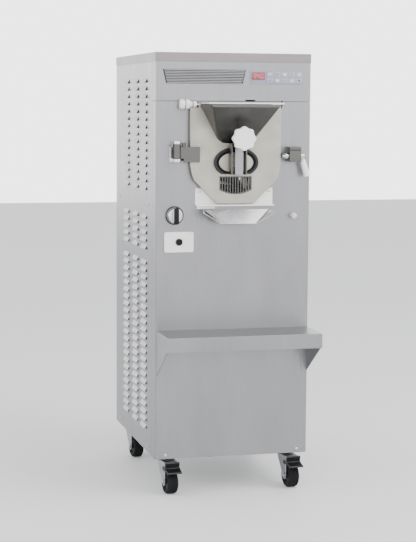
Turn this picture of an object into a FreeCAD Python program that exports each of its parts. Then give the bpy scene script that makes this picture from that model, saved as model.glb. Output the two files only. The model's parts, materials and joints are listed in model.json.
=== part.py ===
import FreeCAD, Part
import math
import os
import Sketcher
from types import SimpleNamespace

from FreeCAD import Placement, Rotation, Vector

# Floor-standing batch freezer for soft ice cream. Millimetres, +Z up, front towards -Y.
# The origin is on the floor, in the middle of the whole machine with its shelf.

DIMENSIONS = (
    # cabinet
    ("body_width", 500.0, "width over the top cover"),
    ("body_depth", 643.0, "depth over the top cover"),
    ("body_height", 1266.0, "height of the cabinet, without its casters"),
    ("caster_height", 115.0, "floor to the underside of the cabinet"),
    ("sheet", 1.2, "thickness of the casing panels"),
    ("cover_height", 28.0, "skirt of the top cover"),
    ("cover_overhang", 1.5, "top cover past the panels"),
    ("cover_tuck", 8.0, "panels up inside the top cover"),
    ("corner_radius", 8.0, "folded corners of the casing"),
    ("front_return", 50.0, "front sheets along the sides"),
    ("rear_return", 15.0, "side panels round the back corners"),
    ("fascia_height", 120.0, "control fascia below the cover"),
    ("seam", 1.0, "gap between two panels"),
    ("post", 25.0, "square tube of the frame"),
    ("post_wall", 2.0, "wall of the square tube"),
    ("frame_gap", 3.0, "panels to the frame"),
    ("base_thickness", 4.0, "floor plate of the frame"),
    # louvres
    ("louvre_length", 74.0, "length of one louvre"),
    ("louvre_gap", 12.5, "height of one louvre's slot"),
    ("louvre_hood", 6.5, "how far a louvre stands out"),
    ("louvre_pitch", 24.1, "row to row"),
    ("louvre_front", 167.0, "front column, from the front panel"),
    ("louvre_middle", 297.0, "middle column, from the front panel"),
    ("louvre_back", 446.0, "back column, from the front panel"),
    ("upper_louvres", 85.0, "first row of the upper field below the top"),
    ("middle_louvres", 514.0, "first row of the middle field below the top"),
    ("lower_louvres", 659.0, "first row of the lower field below the top"),
    ("louvre_margin", 60.0, "lowest row above the cabinet's underside"),
    # freezing barrel
    ("barrel_drop", 331.0, "barrel's axis below the top of the cabinet"),
    ("barrel_bore", 118.0, "inside radius of the barrel"),
    ("barrel_wall", 10.0, "barrel and its cooling jacket"),
    ("barrel_length", 380.0, "front rim to the back of the end plate"),
    ("barrel_end", 8.0, "end plate"),
    ("barrel_proud", 1.5, "front rim in front of the panel"),
    ("insulation", 33.0, "foam round the barrel"),
    ("running_gap", 0.08, "radial clearance of a turning fit"),
    ("fit_gap", 0.3, "clearance between pieces that pass each other"),
    # door
    ("door_half_width", 145.0, "half of the door's width and its rounding"),
    ("door_top", 163.0, "door's top edge above the barrel's axis"),
    ("door_bottom", 132.0, "door's flat bottom below the barrel's axis"),
    ("door_thickness", 17.0, "door plate"),
    ("door_back", 5.0, "door's back face in front of the panel"),
    ("plug_gap", 8.0, "door's plug to the barrel's bore"),
    ("plug_depth", 35.0, "plug behind the door's back face"),
    ("gasket_width", 7.0, "door seal, radially"),
    ("outlet_wall", 6.0, "plug below the curved bottom of the outlet"),
    ("outlet_half_width", 52.0, "half width of the outlet"),
    ("outlet_top", 48.0, "outlet's flat top below the barrel's axis"),
    ("inlet_wall", 12.0, "plug above the curved top of the feed opening"),
    ("inlet_half_width", 38.0, "half width of the feed opening"),
    ("inlet_bottom", 58.0, "feed opening above the barrel's axis"),
    ("grille_thickness", 4.0, "outlet grille"),
    ("grille_bar", 3.1, "one bar of the grille"),
    # feed hopper and its lid
    ("hopper_top", 173.0, "hopper's rim above the barrel's axis"),
    ("hopper_half_width", 115.5, "half width of the rim at the door"),
    ("hopper_front_half", 110.0, "half width of the rim in front"),
    ("hopper_reach", 118.0, "rim's front edge from the door's face"),
    ("hopper_depth", 119.0, "rim down to the bottom at the door"),
    ("hopper_lip", 8.0, "depth of the hopper at its front edge"),
    ("hopper_bottom_half", 53.0, "half width of the bottom at the door"),
    ("hopper_rounding", 35.0, "bottom corners at the door"),
    ("hopper_wall", 2.0, "hopper's sheet"),
    ("lid_thickness", 5.0, "hopper lid"),
    ("lid_half_width", 118.0, "half of the lid's width"),
    ("lid_edge", 3.0, "lid past the hopper's front edge"),
    ("pin_radius", 4.0, "lid's hinge rod"),
    ("pin_forward", 18.0, "hinge rod in front of the panel"),
    ("knuckle_radius", 7.0, "outside of the lid's knuckles"),
    ("pin_knob_radius", 15.5, "knob on the hinge rod"),
    ("pin_knob_length", 31.0, "knob along the rod"),
    ("pin_neck_radius", 9.5, "collar beside the knob"),
    ("pin_knob_gap", 2.30, "knob outside the door's edge"),
    # gate over the outlet
    ("gate_drop", 5.0, "centre of the raised gate below the barrel's axis"),
    ("gate_half_width", 71.0, "oval gate"),
    ("gate_half_height", 47.5, "oval gate"),
    ("gate_flat", 36.0, "gate's cut bottom below its centre"),
    ("gate_thickness", 7.5, "oval gate"),
    ("guide_half_gap", 21.0, "inside of the guide cheeks"),
    ("guide_thickness", 4.0, "one cheek"),
    ("guide_front", 40.0, "cheeks in front of the door's face"),
    ("guide_height", 96.0, "cheeks"),
    ("guide_bottom", 42.0, "cheeks' lower ends below the barrel's axis"),
    ("bar_half_width", 12.5, "gate bar"),
    ("bar_thickness", 5.0, "gate bar"),
    ("knob_rise", 70.5, "gate knob above the barrel's axis"),
    ("knob_radius", 33.0, "gate knob without its lobes"),
    ("knob_thickness", 18.0, "gate knob"),
    ("knob_stem", 44.0, "bar to the back of the knob"),
    ("lobe_radius", 9.0, "one lobe of the knob"),
    # hinge
    ("hinge_offset", 42.5, "hinge pin beyond the door's edge"),
    ("hinge_forward", 29.0, "hinge pin in front of the panel"),
    ("hinge_pin_radius", 6.0, "hinge pin"),
    ("hinge_knuckle", 11.0, "outside of the knuckle"),
    ("hinge_height", 47.0, "leaf and base plate"),
    ("hinge_rise", 18.0, "top of the base's upper ear above the leaf"),
    ("ear_height", 10.0, "one ear of the hinge base"),
    # clamp
    ("clamp_gap", 2.5, "clamp's nose to the door's edge"),
    ("clamp_nose_radius", 9.0, "clamp's nose"),
    ("clamp_nose", 20.0, "nose outside its bracket"),
    ("clamp_width", 37.5, "clamp bracket"),
    ("clamp_height", 46.0, "clamp bracket"),
    ("clamp_forward", 45.0, "clamp bracket's front"),
    ("clamp_shaft_radius", 6.0, "shaft in the bracket"),
    ("clamp_rise", 15.0, "shaft above the barrel's axis"),
    ("grip_length", 55.0, "clamp grip"),
    # below the door
    ("chute_plate_inset", 20.5, "plate under the door, inside the door's width on each side"),
    ("chute_plate_top", 85.0, "plate's top below the barrel's axis"),
    ("chute_plate_bottom", 138.0, "plate's bottom below the barrel's axis"),
    ("chute_half_top", 106.0, "half width of the chute at its top"),
    ("chute_half_bottom", 54.0, "half width of the chute at its mouth"),
    ("tap_drop", 169.0, "rinse tap below the barrel's axis"),
    ("tap_left", 190.0, "rinse tap from the middle"),
    ("tap_radius", 30.0, "tap's flange"),
    ("stud_radius", 9.0, "rest stud"),
    ("switch_width", 93.4, "switch plate"),
    ("switch_height", 63.7, "switch plate"),
    ("switch_depth", 6.0, "switch plate"),
    ("switch_left", 175.5, "switch from the middle"),
    ("switch_drop", 251.7, "switch below the barrel's axis"),
    ("button_radius", 10.5, "push button"),
    ("button_travel", 3.0, "push button's stroke"),
    # shelf
    ("shelf_depth", 158.0, "shelf in front of the panel"),
    ("shelf_width", 490.0, "shelf"),
    ("shelf_height", 407.0, "top of the shelf above the cabinet's underside"),
    ("shelf_lip", 45.0, "folded front edge"),
    ("bracket_height", 143.0, "brackets at the panel"),
    ("shelf_sheet", 2.0, "shelf's sheet"),
    # drive
    ("shaft_radius", 15.0, "beater shaft"),
    ("driven_radius", 95.0, "beater's pulley"),
    ("motor_pulley_radius", 38.0, "motor's pulley"),
    ("belt_centres", 375.0, "between the two pulleys"),
    ("belt_thickness", 7.0, "drive belt"),
    ("belt_width", 22.0, "drive belt"),
    ("pulley_width", 26.0, "pulley with its flanges"),
    ("pulley_back", 452.0, "middle of the belt behind the panel"),
    ("motor_radius", 78.0, "beater motor"),
    ("motor_length", 230.0, "beater motor"),
    ("beater_bar", 12.0, "one bar of the beater"),
    ("beater_inset", 23.0, "middle of the beater's bars inside the bore"),
    ("blade_thickness", 8.0, "scraper blades"),
    ("blade_width", 56.0, "scraper blades, along the radius"),
    ("blade_gap", 2.0, "scraper blades to the bore"),
    # refrigeration
    ("compressor_radius", 90.0, "compressor"),
    ("compressor_clear", 192.0, "compressor's top below the motor's shelf"),
    ("condenser_width", 400.0, "condenser"),
    ("condenser_clear", 52.0, "condenser's top below the motor's shelf"),
    ("condenser_depth", 45.0, "condenser"),
    ("fan_margin", 50.0, "fan's blades inside the condenser's top and bottom"),
    ("pipe_radius", 4.5, "refrigerant pipes"),
    ("pipe_bend", 12.0, "bends of the pipes"),
    # casters
    ("caster_inset_side", 51.0, "caster stems from the cabinet's sides"),
    ("caster_inset_front", 57.5, "front stems behind the panel"),
    ("caster_inset_back", 57.5, "rear stems from the back"),
    ("caster_trail", 37.0, "wheel's axle ahead of the stem"),
    ("caster_heading", -5.0, "casters turned from straight ahead, degrees"),
    ("wheel_radius", 38.5, "caster wheel"),
    ("wheel_width", 34.0, "caster wheel"),
    ("fork_sheet", 3.0, "caster fork"),
    ("fork_gap", 2.0, "wheel to fork"),
    ("axle_radius", 4.0, "wheel axle"),
    ("stem_radius", 6.0, "caster stem"),
    ("pedal_width", 48.0, "brake pedal"),
    ("pedal_length", 36.0, "brake pedal"),
    ("fork_drop", 13.0, "fork's top below the cabinet"),
)


class Size:
    """A length or an angle in degrees: its value, and the expression that gives it in the sheet."""

    def __init__(self, value, text):
        self.value = float(value)
        self.text = text

    def _with(self, other, sign, value):
        return Size(value, "(%s %s %s)" % (self.text, sign, text(other)))

    def __add__(self, other):
        return self._with(other, "+", self.value + number(other))

    def __sub__(self, other):
        return self._with(other, "-", self.value - number(other))

    def __mul__(self, other):
        return self._with(other, "*", self.value * number(other))

    def __truediv__(self, other):
        return self._with(other, "/", self.value / number(other))

    def __radd__(self, other):
        return Size(other, repr(float(other))) + self

    def __rsub__(self, other):
        return Size(other, repr(float(other))) - self

    def __rmul__(self, other):
        return self * other

    def __neg__(self):
        return self * -1


def number(size):
    """The plain value of a Size or a number."""
    return size.value if isinstance(size, Size) else float(size)


def text(size):
    """The expression of a Size or a number."""
    return size.text if isinstance(size, Size) else repr(float(size))


def root(size):
    """Square root of a Size."""
    return Size(math.sqrt(size.value), "sqrt(%s)" % size.text)


def bind(item, **sizes):
    """Tie properties of an object to their sizes."""
    for name, size in sizes.items():
        item.setExpression(name, text(size))


doc = FreeCAD.newDocument("batch_freezer")
sheet = doc.addObject("Spreadsheet::Sheet", "dims")
size = SimpleNamespace()
for row, (alias, value, meaning) in enumerate(DIMENSIONS, start=1):
    sheet.set("A%d" % row, meaning)
    sheet.set("B%d" % row, str(value))
    sheet.setAlias("B%d" % row, alias)
    setattr(size, alias, Size(value, "dims." + alias))
doc.recompute()

# Places that many sub-parts share.
front = (size.shelf_depth + size.cover_overhang - size.body_depth) / 2
back = front + size.body_depth - size.cover_overhang * 2
base = size.caster_height
top = base + size.body_height
side = size.body_width / 2 - size.cover_overhang
axis_z = top - size.barrel_drop
seam_z = top - size.cover_height - size.fascia_height
panel_top = top - size.cover_height + size.cover_tuck
door_rear = front - size.door_back
door_face = door_rear - size.door_thickness
door_flat_half = root(size.door_half_width * size.door_half_width - size.door_bottom * size.door_bottom)
door_lean = door_flat_half + size.door_bottom
chute_plate_half = size.door_half_width - size.chute_plate_inset
plug_radius = size.barrel_bore - size.plug_gap
outlet_radius = plug_radius - size.outlet_wall

ALONG_X = Rotation(Vector(0, 1, 0), 90)
ALONG_Y = Rotation(Vector(1, 0, 0), -90)
ALONG_Z = Rotation()
DIRECTIONS = {"x": ALONG_X, "y": ALONG_Y, "z": ALONG_Z}
nodes = []


def node(item, label):
    """Register a finished sub-part under the name of its file."""
    item.Label = label
    nodes.append(item)
    return item


def put(item, x, y, z, turn=None):
    """Place an object; its position stays bound to the sheet."""
    item.Placement = Placement(Vector(), turn or Rotation())
    for name, place in zip("xyz", (x, y, z)):
        item.setExpression("Placement.Base." + name, text(place))
    return item


def block(name, x, y, z):
    """A box between two bounds along each axis."""
    item = doc.addObject("Part::Box", name)
    bind(item, Length=x[1] - x[0], Width=y[1] - y[0], Height=z[1] - z[0])
    return put(item, x[0], y[0], z[0])


def rod(name, along, radius, span, a, b):
    """A cylinder along x, y or z, over a span; a and b are its centre on the other two axes."""
    item = doc.addObject("Part::Cylinder", name)
    bind(item, Radius=radius, Height=span[1] - span[0])
    places = {"x": (span[0], a, b), "y": (a, span[0], b), "z": (a, b, span[0])}
    return put(item, *places[along], turn=DIRECTIONS[along])


def cone(name, along, radii, span, a, b):
    """A truncated cone, laid out like rod()."""
    item = doc.addObject("Part::Cone", name)
    bind(item, Radius1=radii[0], Radius2=radii[1], Height=span[1] - span[0])
    places = {"x": (span[0], a, b), "y": (a, span[0], b), "z": (a, b, span[0])}
    return put(item, *places[along], turn=DIRECTIONS[along])


def fuse(name, *shapes):
    item = doc.addObject("Part::MultiFuse", name)
    item.Shapes = list(shapes)
    item.Refine = True
    return item


def common(name, *shapes):
    item = doc.addObject("Part::MultiCommon", name)
    item.Shapes = list(shapes)
    return item


def cut(name, solid, *tools):
    item = doc.addObject("Part::Cut", name)
    item.Base = solid
    item.Tool = tools[0] if len(tools) == 1 else fuse(name + "_cutter", *tools)
    item.Refine = True
    return item


def group(name, *shapes):
    """Separate solids that share one node."""
    item = doc.addObject("Part::Compound", name)
    item.Links = list(shapes)
    return item


def ring(name, along, outer, inner, span, a, b):
    """A tube, laid out like rod()."""
    return cut(name, rod(name + "_outer", along, outer, span, a, b),
               rod(name + "_bore", along, inner, span, a, b))


def closed_sketch(body, plane, points):
    """A polygon on one of the body's planes, each corner dimensioned from the origin."""
    sketch = body.newObject("Sketcher::SketchObject", body.Name + "_sketch")
    origin_planes = {item.Role: item for item in body.Origin.OriginFeatures}
    sketch.AttachmentSupport = [(origin_planes[plane], "")]
    sketch.MapMode = "FlatFace"
    corners = [Vector(number(u), number(v), 0) for u, v in points]
    count = len(corners)
    for index, corner in enumerate(corners):
        sketch.addGeometry(Part.LineSegment(corner, corners[(index + 1) % count]), False)
    for index in range(count):
        sketch.addConstraint(Sketcher.Constraint("Coincident", index, 2, (index + 1) % count, 1))
    for index, (u, v) in enumerate(points):
        for kind, place, letter in (("DistanceX", u, "u"), ("DistanceY", v, "v")):
            at = sketch.addConstraint(Sketcher.Constraint(kind, -1, 1, index, 1, number(place)))
            sketch.renameConstraint(at, "%s%d" % (letter, index))
            sketch.setExpression("Constraints.%s%d" % (letter, index), text(place))
    return sketch


def pad(name, plane, points, length, at=(0, 0, 0), turn=None):
    """A body padded from a polygon: XY_Plane towards +Z, XZ_Plane towards -Y, YZ_Plane towards +X."""
    body = doc.addObject("PartDesign::Body", name)
    sketch = closed_sketch(body, plane, points)
    feature = body.newObject("PartDesign::Pad", name + "_pad")
    feature.Profile = sketch
    bind(feature, Length=length)
    body.Tip = feature
    put(body, *at, turn=turn)
    doc.recompute()
    return body


def revolve(name, points, at, turn):
    """A body turned from a polygon on XZ_Plane about that plane's upright axis."""
    body = doc.addObject("PartDesign::Body", name)
    sketch = closed_sketch(body, "XZ_Plane", points)
    feature = body.newObject("PartDesign::Revolution", name + "_revolution")
    feature.Profile = sketch
    feature.ReferenceAxis = (sketch, ["V_Axis"])
    feature.Angle = 360
    body.Tip = feature
    put(body, *at, turn=turn)
    doc.recompute()
    return body


def round_edges(body, radius, chosen):
    """Fillet the edges of a body's tip that chosen() picks."""
    tip = body.Tip
    names = ["Edge%d" % index for index, edge in enumerate(tip.Shape.Edges, start=1) if chosen(edge)]
    feature = body.newObject("PartDesign::Fillet", body.Name + "_fillet")
    feature.Base = (tip, names)
    bind(feature, Radius=radius)
    body.Tip = feature
    doc.recompute()
    return body


def runs_along(axis):
    """A test for straight edges parallel to an axis of the body."""
    direction = {"x": Vector(1, 0, 0), "y": Vector(0, 1, 0), "z": Vector(0, 0, 1)}[axis]

    def test(edge):
        if not isinstance(edge.Curve, Part.Line):
            return False
        return abs(abs(edge.Curve.Direction.dot(direction)) - 1) < 1e-6
    return test


def shaped(name, shape, at=(0, 0, 0), turn=None):
    """A feature whose solid is worked out here from the sheet's values."""
    item = doc.addObject("Part::Feature", name)
    item.Shape = shape
    return put(item, *at, turn=turn)


def rounded_path(points, radii, closed=False):
    """A wire through points whose corners are arcs of the given radii."""
    count = len(points)
    starts, ends, arcs = [], [], []
    for index, point in enumerate(points):
        radius = radii[index]
        if radius == 0 or (not closed and index in (0, count - 1)):
            starts.append(point)
            ends.append(point)
            arcs.append(None)
            continue
        before = (points[index - 1] - point).normalize()
        after = (points[(index + 1) % count] - point).normalize()
        half = before.getAngle(after) / 2
        inwards = (before + after).normalize()
        reach = radius / math.tan(half)
        middle = point + inwards * (radius / math.sin(half) - radius)
        starts.append(point + before * reach)
        ends.append(point + after * reach)
        arcs.append(Part.Arc(starts[-1], middle, ends[-1]).toShape())
    edges = []
    for index in range(count):
        if arcs[index]:
            edges.append(arcs[index])
        if index < count - 1 or closed:
            edges.append(Part.LineSegment(ends[index], starts[(index + 1) % count]).toShape())
    return Part.Wire(edges)


# ---------------------------------------------------------------- cabinet

def folded_front(name, z):
    """A front sheet whose two sides fold back round the cabinet's corners."""
    outer = block(name + "_outer", (-side, side), (front, front + size.front_return), z)
    outer = rounded_block(outer, size.corner_radius, front_corners=True)
    inner = block(name + "_inner", (size.sheet - side, side - size.sheet),
                  (front + size.sheet, front + size.front_return + 1), (z[0] - 1, z[1] + 1))
    inner = rounded_block(inner, size.corner_radius - size.sheet, front_corners=True)
    return cut(name + "_shell", outer, inner)


def rounded_block(box, radius, front_corners=False, back_corners=False):
    """A box with its upright front or back corners rounded."""
    doc.recompute()
    item = doc.addObject("Part::Fillet", box.Name + "_round")
    item.Base = box
    bounds = box.Shape.BoundBox
    wanted = []
    for index, edge in enumerate(box.Shape.Edges, start=1):
        middle = edge.BoundBox
        upright = middle.ZLength > 0.9 * bounds.ZLength
        at_front = front_corners and middle.YMax < bounds.YMin + 0.01
        at_back = back_corners and middle.YMin > bounds.YMax - 0.01
        if upright and (at_front or at_back):
            wanted.append((index, number(radius), number(radius)))
    item.Edges = wanted
    return item


def make_front_panel():
    shell = folded_front("panel", (base, seam_z - size.seam))
    holes = [rod("barrel_hole", "y", size.barrel_bore + size.barrel_wall + size.seam,
                 (front - 1, front + 5), 0, axis_z),
             rod("button_hole", "y", size.button_radius + size.seam, (front - 1, front + 5),
                 -size.switch_left, axis_z - size.switch_drop)]
    node(cut("front_panel", shell, *holes), "front_panel")


def make_control_fascia():
    shell = folded_front("fascia", (seam_z, panel_top))
    slot_left = 35.0
    slot_length = 32.0
    slot_height = 5.0
    slot = block("sensor_slot", (slot_left, slot_left + slot_length), (front - 1, front + 5),
                 (seam_z - 1, seam_z - 1 + slot_height))
    node(cut("control_fascia", shell, slot), "control_fascia")


def louvre_rows(low, high):
    """Heights of the louvre rows: three fields with a plain band between them."""
    rows = []
    for start, count in ((size.upper_louvres, 15), (size.middle_louvres, 5), (size.lower_louvres, 23)):
        for step in range(count):
            height = (top - start - size.louvre_pitch * step).value
            if low < height < high:
                rows.append(height)
    return rows


def louvred_side(name, hand):
    """A side panel with pressed louvres that open downwards; hand is -1 on the left, 1 on the right."""
    sheet_thickness = size.sheet.value
    outside = side.value
    y_front = (front + size.front_return + size.seam).value
    y_back = back.value
    low, high = base.value, panel_top.value
    fold = outside - size.rear_return.value
    inside = outside - sheet_thickness
    radius = size.corner_radius.value
    plan = [(inside, y_front), (outside, y_front), (outside, y_back), (fold, y_back),
            (fold, y_back - sheet_thickness), (inside, y_back - sheet_thickness)]
    outline = rounded_path([Vector(x, y, low) for x, y in plan],
                           [0, 0, radius, 0, 0, radius - sheet_thickness], closed=True)
    wall = Part.Face(outline).extrude(Vector(0, 0, high - low))
    gap = size.louvre_gap.value
    hood = size.louvre_hood.value
    length = size.louvre_length.value
    slots, hoods = [], []
    for column in (size.louvre_front, size.louvre_middle, size.louvre_back):
        start = (front + column).value - length / 2
        for height in louvre_rows(low + size.louvre_margin.value, high):
            slots.append(Part.makeBox(3 * sheet_thickness, length, gap,
                                      Vector(outside - 2 * sheet_thickness, start, height - gap / 2)))
            section = [(-sheet_thickness, gap / 2 + sheet_thickness), (0, gap / 2 + sheet_thickness),
                       (hood, sheet_thickness - gap / 2), (hood, -gap / 2),
                       (hood - sheet_thickness, -gap / 2), (-sheet_thickness, gap / 2 - 0.2)]
            corners = [Vector(outside + u, start, height + v) for u, v in section]
            face = Part.Face(Part.makePolygon(corners + corners[:1]))
            hoods.append(face.extrude(Vector(0, length, 0)))
    panel = wall.cut(Part.makeCompound(slots)).fuse(hoods).removeSplitter()
    if hand < 0:
        panel = panel.mirror(Vector(), Vector(1, 0, 0))
    node(shaped(name, panel.Solids[0]), name)


def make_rear_panel():
    half = side - size.rear_return - size.seam
    panel = block("rear_sheet", (-half, half), (back - size.sheet, back), (base, panel_top))
    slot_rows = 14
    slot_pitch = 26.0
    slot_height = 8.0
    slot_half = 150.0
    first_slot = 50.0
    slots = []
    for row in range(slot_rows):
        low = base + first_slot + slot_pitch * row
        slots.append(block("air_slot_%d" % row, (-slot_half, slot_half), (back - 5, back + 1),
                           (low, low + slot_height)))
    inlet_x = 150.0
    inlet_z = base + 560.0
    inlet_radius = 11.0
    inlet_depth = 12.0
    boss = rod("inlet_boss", "y", inlet_radius + 5, (back - size.sheet - inlet_depth, back - size.sheet),
               inlet_x, inlet_z)
    bore = rod("inlet_bore", "y", inlet_radius, (back - 20, back + 1), inlet_x, inlet_z)
    node(cut("rear_panel", fuse("rear_body", panel, boss), bore, *slots), "rear_panel")


def make_top_cover():
    half = size.body_width / 2
    y = (front - size.cover_overhang, front - size.cover_overhang + size.body_depth)
    outer = block("cover_outer", (-half, half), y, (top - size.cover_height, top))
    outer = rounded_block(outer, size.corner_radius + size.cover_overhang, True, True)
    inner = block("cover_inner", (size.sheet - half, half - size.sheet),
                  (y[0] + size.sheet, y[1] - size.sheet),
                  (top - size.cover_height - 1, top - size.sheet))
    inner = rounded_block(inner, size.corner_radius + size.cover_overhang - size.sheet, True, True)
    node(cut("top_cover", outer, inner), "top_cover")


def tube(name, x, y, z, along):
    """A length of the frame's square tube."""
    wall = size.post_wall
    spans = {"x": x, "y": y, "z": z}
    inner = {axis: ((a - 1, b + 1) if axis == along else (a + wall, b - wall))
             for axis, (a, b) in spans.items()}
    return cut(name, block(name + "_outer", x, y, z),
               block(name + "_bore", inner["x"], inner["y"], inner["z"]))


def make_frame():
    """Posts, rails, floor plate with caster sockets and the motor's shelf: a weldment of separate tubes."""
    outer_x = side - size.sheet - size.frame_gap
    inner_x = outer_x - size.post
    y0 = front + size.sheet + size.frame_gap
    y1 = back - size.sheet - size.frame_gap
    floor_top = base + size.base_thickness
    frame_top = top - size.cover_height - 2
    pieces = []
    for x in ((-outer_x, -inner_x), (inner_x, outer_x)):
        for y in ((y0, y0 + size.post), (y1 - size.post, y1)):
            pieces.append(tube("post_%d" % len(pieces), x, y, (floor_top, frame_top), "z"))
    rail_levels = (floor_top, frame_top - size.post, axis_z - size.barrel_bore - size.barrel_wall
                   - size.insulation - size.post, motor_shelf() - size.base_thickness - size.post)
    for level in rail_levels:
        z = (level, level + size.post)
        for x in ((-outer_x, -inner_x), (inner_x, outer_x)):
            pieces.append(tube("side_rail_%d" % len(pieces), x, (y0 + size.post, y1 - size.post), z, "y"))
    for level in rail_levels[:2]:
        z = (level, level + size.post)
        for y in ((y0, y0 + size.post), (y1 - size.post, y1)):
            pieces.append(tube("cross_rail_%d" % len(pieces), (-inner_x, inner_x), y, z, "x"))
    cradle_y = front + 60.0
    for index in range(2):
        start = cradle_y + 220.0 * index
        pieces.append(tube("cradle_%d" % index, (-inner_x, inner_x), (start, start + size.post),
                           (rail_levels[2], rail_levels[2] + size.post), "x"))
    shelf = block("motor_shelf", (-outer_x, outer_x), (front + 165.0, front + 425.0),
                  (motor_shelf() - size.base_thickness, motor_shelf()))
    pieces.append(shelf)
    floor = block("floor", (-outer_x, outer_x), (y0, y1), (base, floor_top))
    bosses, bores = [floor], []
    for index, (x, y) in enumerate(caster_places()):
        bosses.append(rod("socket_%d" % index, "z", size.stem_radius + 9, (base, base + 24), x, y))
        bores.append(rod("socket_bore_%d" % index, "z", size.stem_radius + size.running_gap,
                         (base - 1, base + 18), x, y))
    pieces.append(cut("floor_plate", fuse("floor_bosses", *bosses), *bores))
    node(group("frame", *pieces), "frame")


def motor_shelf():
    """Top of the shelf that the beater motor stands on."""
    return axis_z - size.belt_centres - size.motor_radius


def caster_places():
    x = size.body_width / 2 - size.caster_inset_side
    y = (front + size.caster_inset_front, back - size.caster_inset_back)
    return [(-x, y[0]), (x, y[0]), (-x, y[1]), (x, y[1])]


def make_screws():
    """Domed heads on the side panels, the front panel and the plate under the door."""
    head_radius = 5.0
    head_height = 2.4
    heads = []
    for along, sign in (("x", -1), ("x", 1)):
        face = side * sign
        span = (face - head_height, face) if sign < 0 else (face, face + head_height)
        radii = (head_radius - 2, head_radius) if sign < 0 else (head_radius, head_radius - 2)
        for back_by, height in ((113.0, 792.0), (572.0, 792.0), (120.0, 19.0), (562.0, 19.0)):
            heads.append(cone("side_screw_%d" % len(heads), along, radii, span,
                              front + back_by, base + height))
    for across in (-215.5, 215.5):
        heads.append(cone("front_screw_%d" % len(heads), "y", (head_radius - 2, head_radius),
                          (front - head_height, front), across, base + 13.0))
    for sign in (-1, 1):
        face = front - chute_plate_thickness()
        across = chute_plate_half - 12.0
        heads.append(cone("chute_screw_%d" % len(heads), "y", (head_radius - 1, head_radius + 1),
                          (face - head_height, face), across * sign, axis_z - (door_lean + 13.5 - across)))
    node(group("panel_screws", *heads), "panel_screws")


def make_trim_strip():
    """A plain ribbed strip on the fascia, narrower at its lower edge."""
    left, right = -227.0, 36.0
    taper = 10.0
    low = top - 95.0
    high = top - 51.0
    backing = 1.2
    rib = 1.0
    plate = pad("trim_plate", "XZ_Plane", [(left + taper, 0), (right - taper, 0), (right, high - low),
                                           (left, high - low)], backing, (0, front, low))
    ribs = []
    rib_count = 7
    for index in range(rib_count):
        share = (index + 0.5) / rib_count
        inset = taper * (1 - share) + 3
        middle = low + (high - low) * share
        ribs.append(block("trim_rib_%d" % index, (left + inset, right - inset),
                          (front - backing - rib, front - backing + 0.2), (middle - 1.7, middle + 1.7)))
    node(fuse("trim_strip", plate, *ribs), "trim_strip")


def make_control_plate():
    plate = block("control_plate", (49.0, 221.0), (front - 2, front), (top - 95.0, top - 53.0))
    node(plate, "control_plate")


def make_electrical_box():
    y = (front + 35.0, front + 150.0)
    z = (seam_z + 12, seam_z + 82)
    outer = block("box_outer", (-200.0, 200.0), y, z)
    inner = block("box_inner", (-197.0, 197.0), (y[0] + 3, y[1] - 3), (z[0] + 3, z[1] + 1))
    node(cut("electrical_box", outer, inner), "electrical_box")


# ---------------------------------------------------------------- freezing barrel and drive

def make_barrel():
    rim = front - size.barrel_proud
    end = rim + size.barrel_length
    outer = rod("barrel_outer", "y", size.barrel_bore + size.barrel_wall, (rim, end), 0, axis_z)
    inner = rod("barrel_inner", "y", size.barrel_bore, (rim - 1, end - size.barrel_end), 0, axis_z)
    bore = rod("barrel_shaft_bore", "y", size.shaft_radius + size.running_gap, (rim, end + 1), 0, axis_z)
    node(cut("freezing_barrel", outer, inner, bore), "freezing_barrel")
    foam_inner = size.barrel_bore + size.barrel_wall
    foam = ring("barrel_insulation", "y", foam_inner + size.insulation, foam_inner,
                (front + size.sheet + 4, end), 0, axis_z)
    node(foam, "barrel_insulation")
    housing = fuse("housing_body", rod("housing_flange", "y", 60.0, (end, end + 10), 0, axis_z),
                   rod("housing_neck", "y", 38.0, (end, end + 48), 0, axis_z))
    seat_radius = 26.0
    seat = rod("housing_seat", "y", seat_radius, (end - 1, end + 49), 0, axis_z)
    races = []
    for index, start in enumerate((end + 2, end + 33)):
        races.append(ring("race_%d" % index, "y", seat_radius, size.shaft_radius + size.running_gap,
                          (start, start + 13), 0, axis_z))
    node(group("bearing_housing", cut("housing", housing, seat), *races), "bearing_housing")


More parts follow.
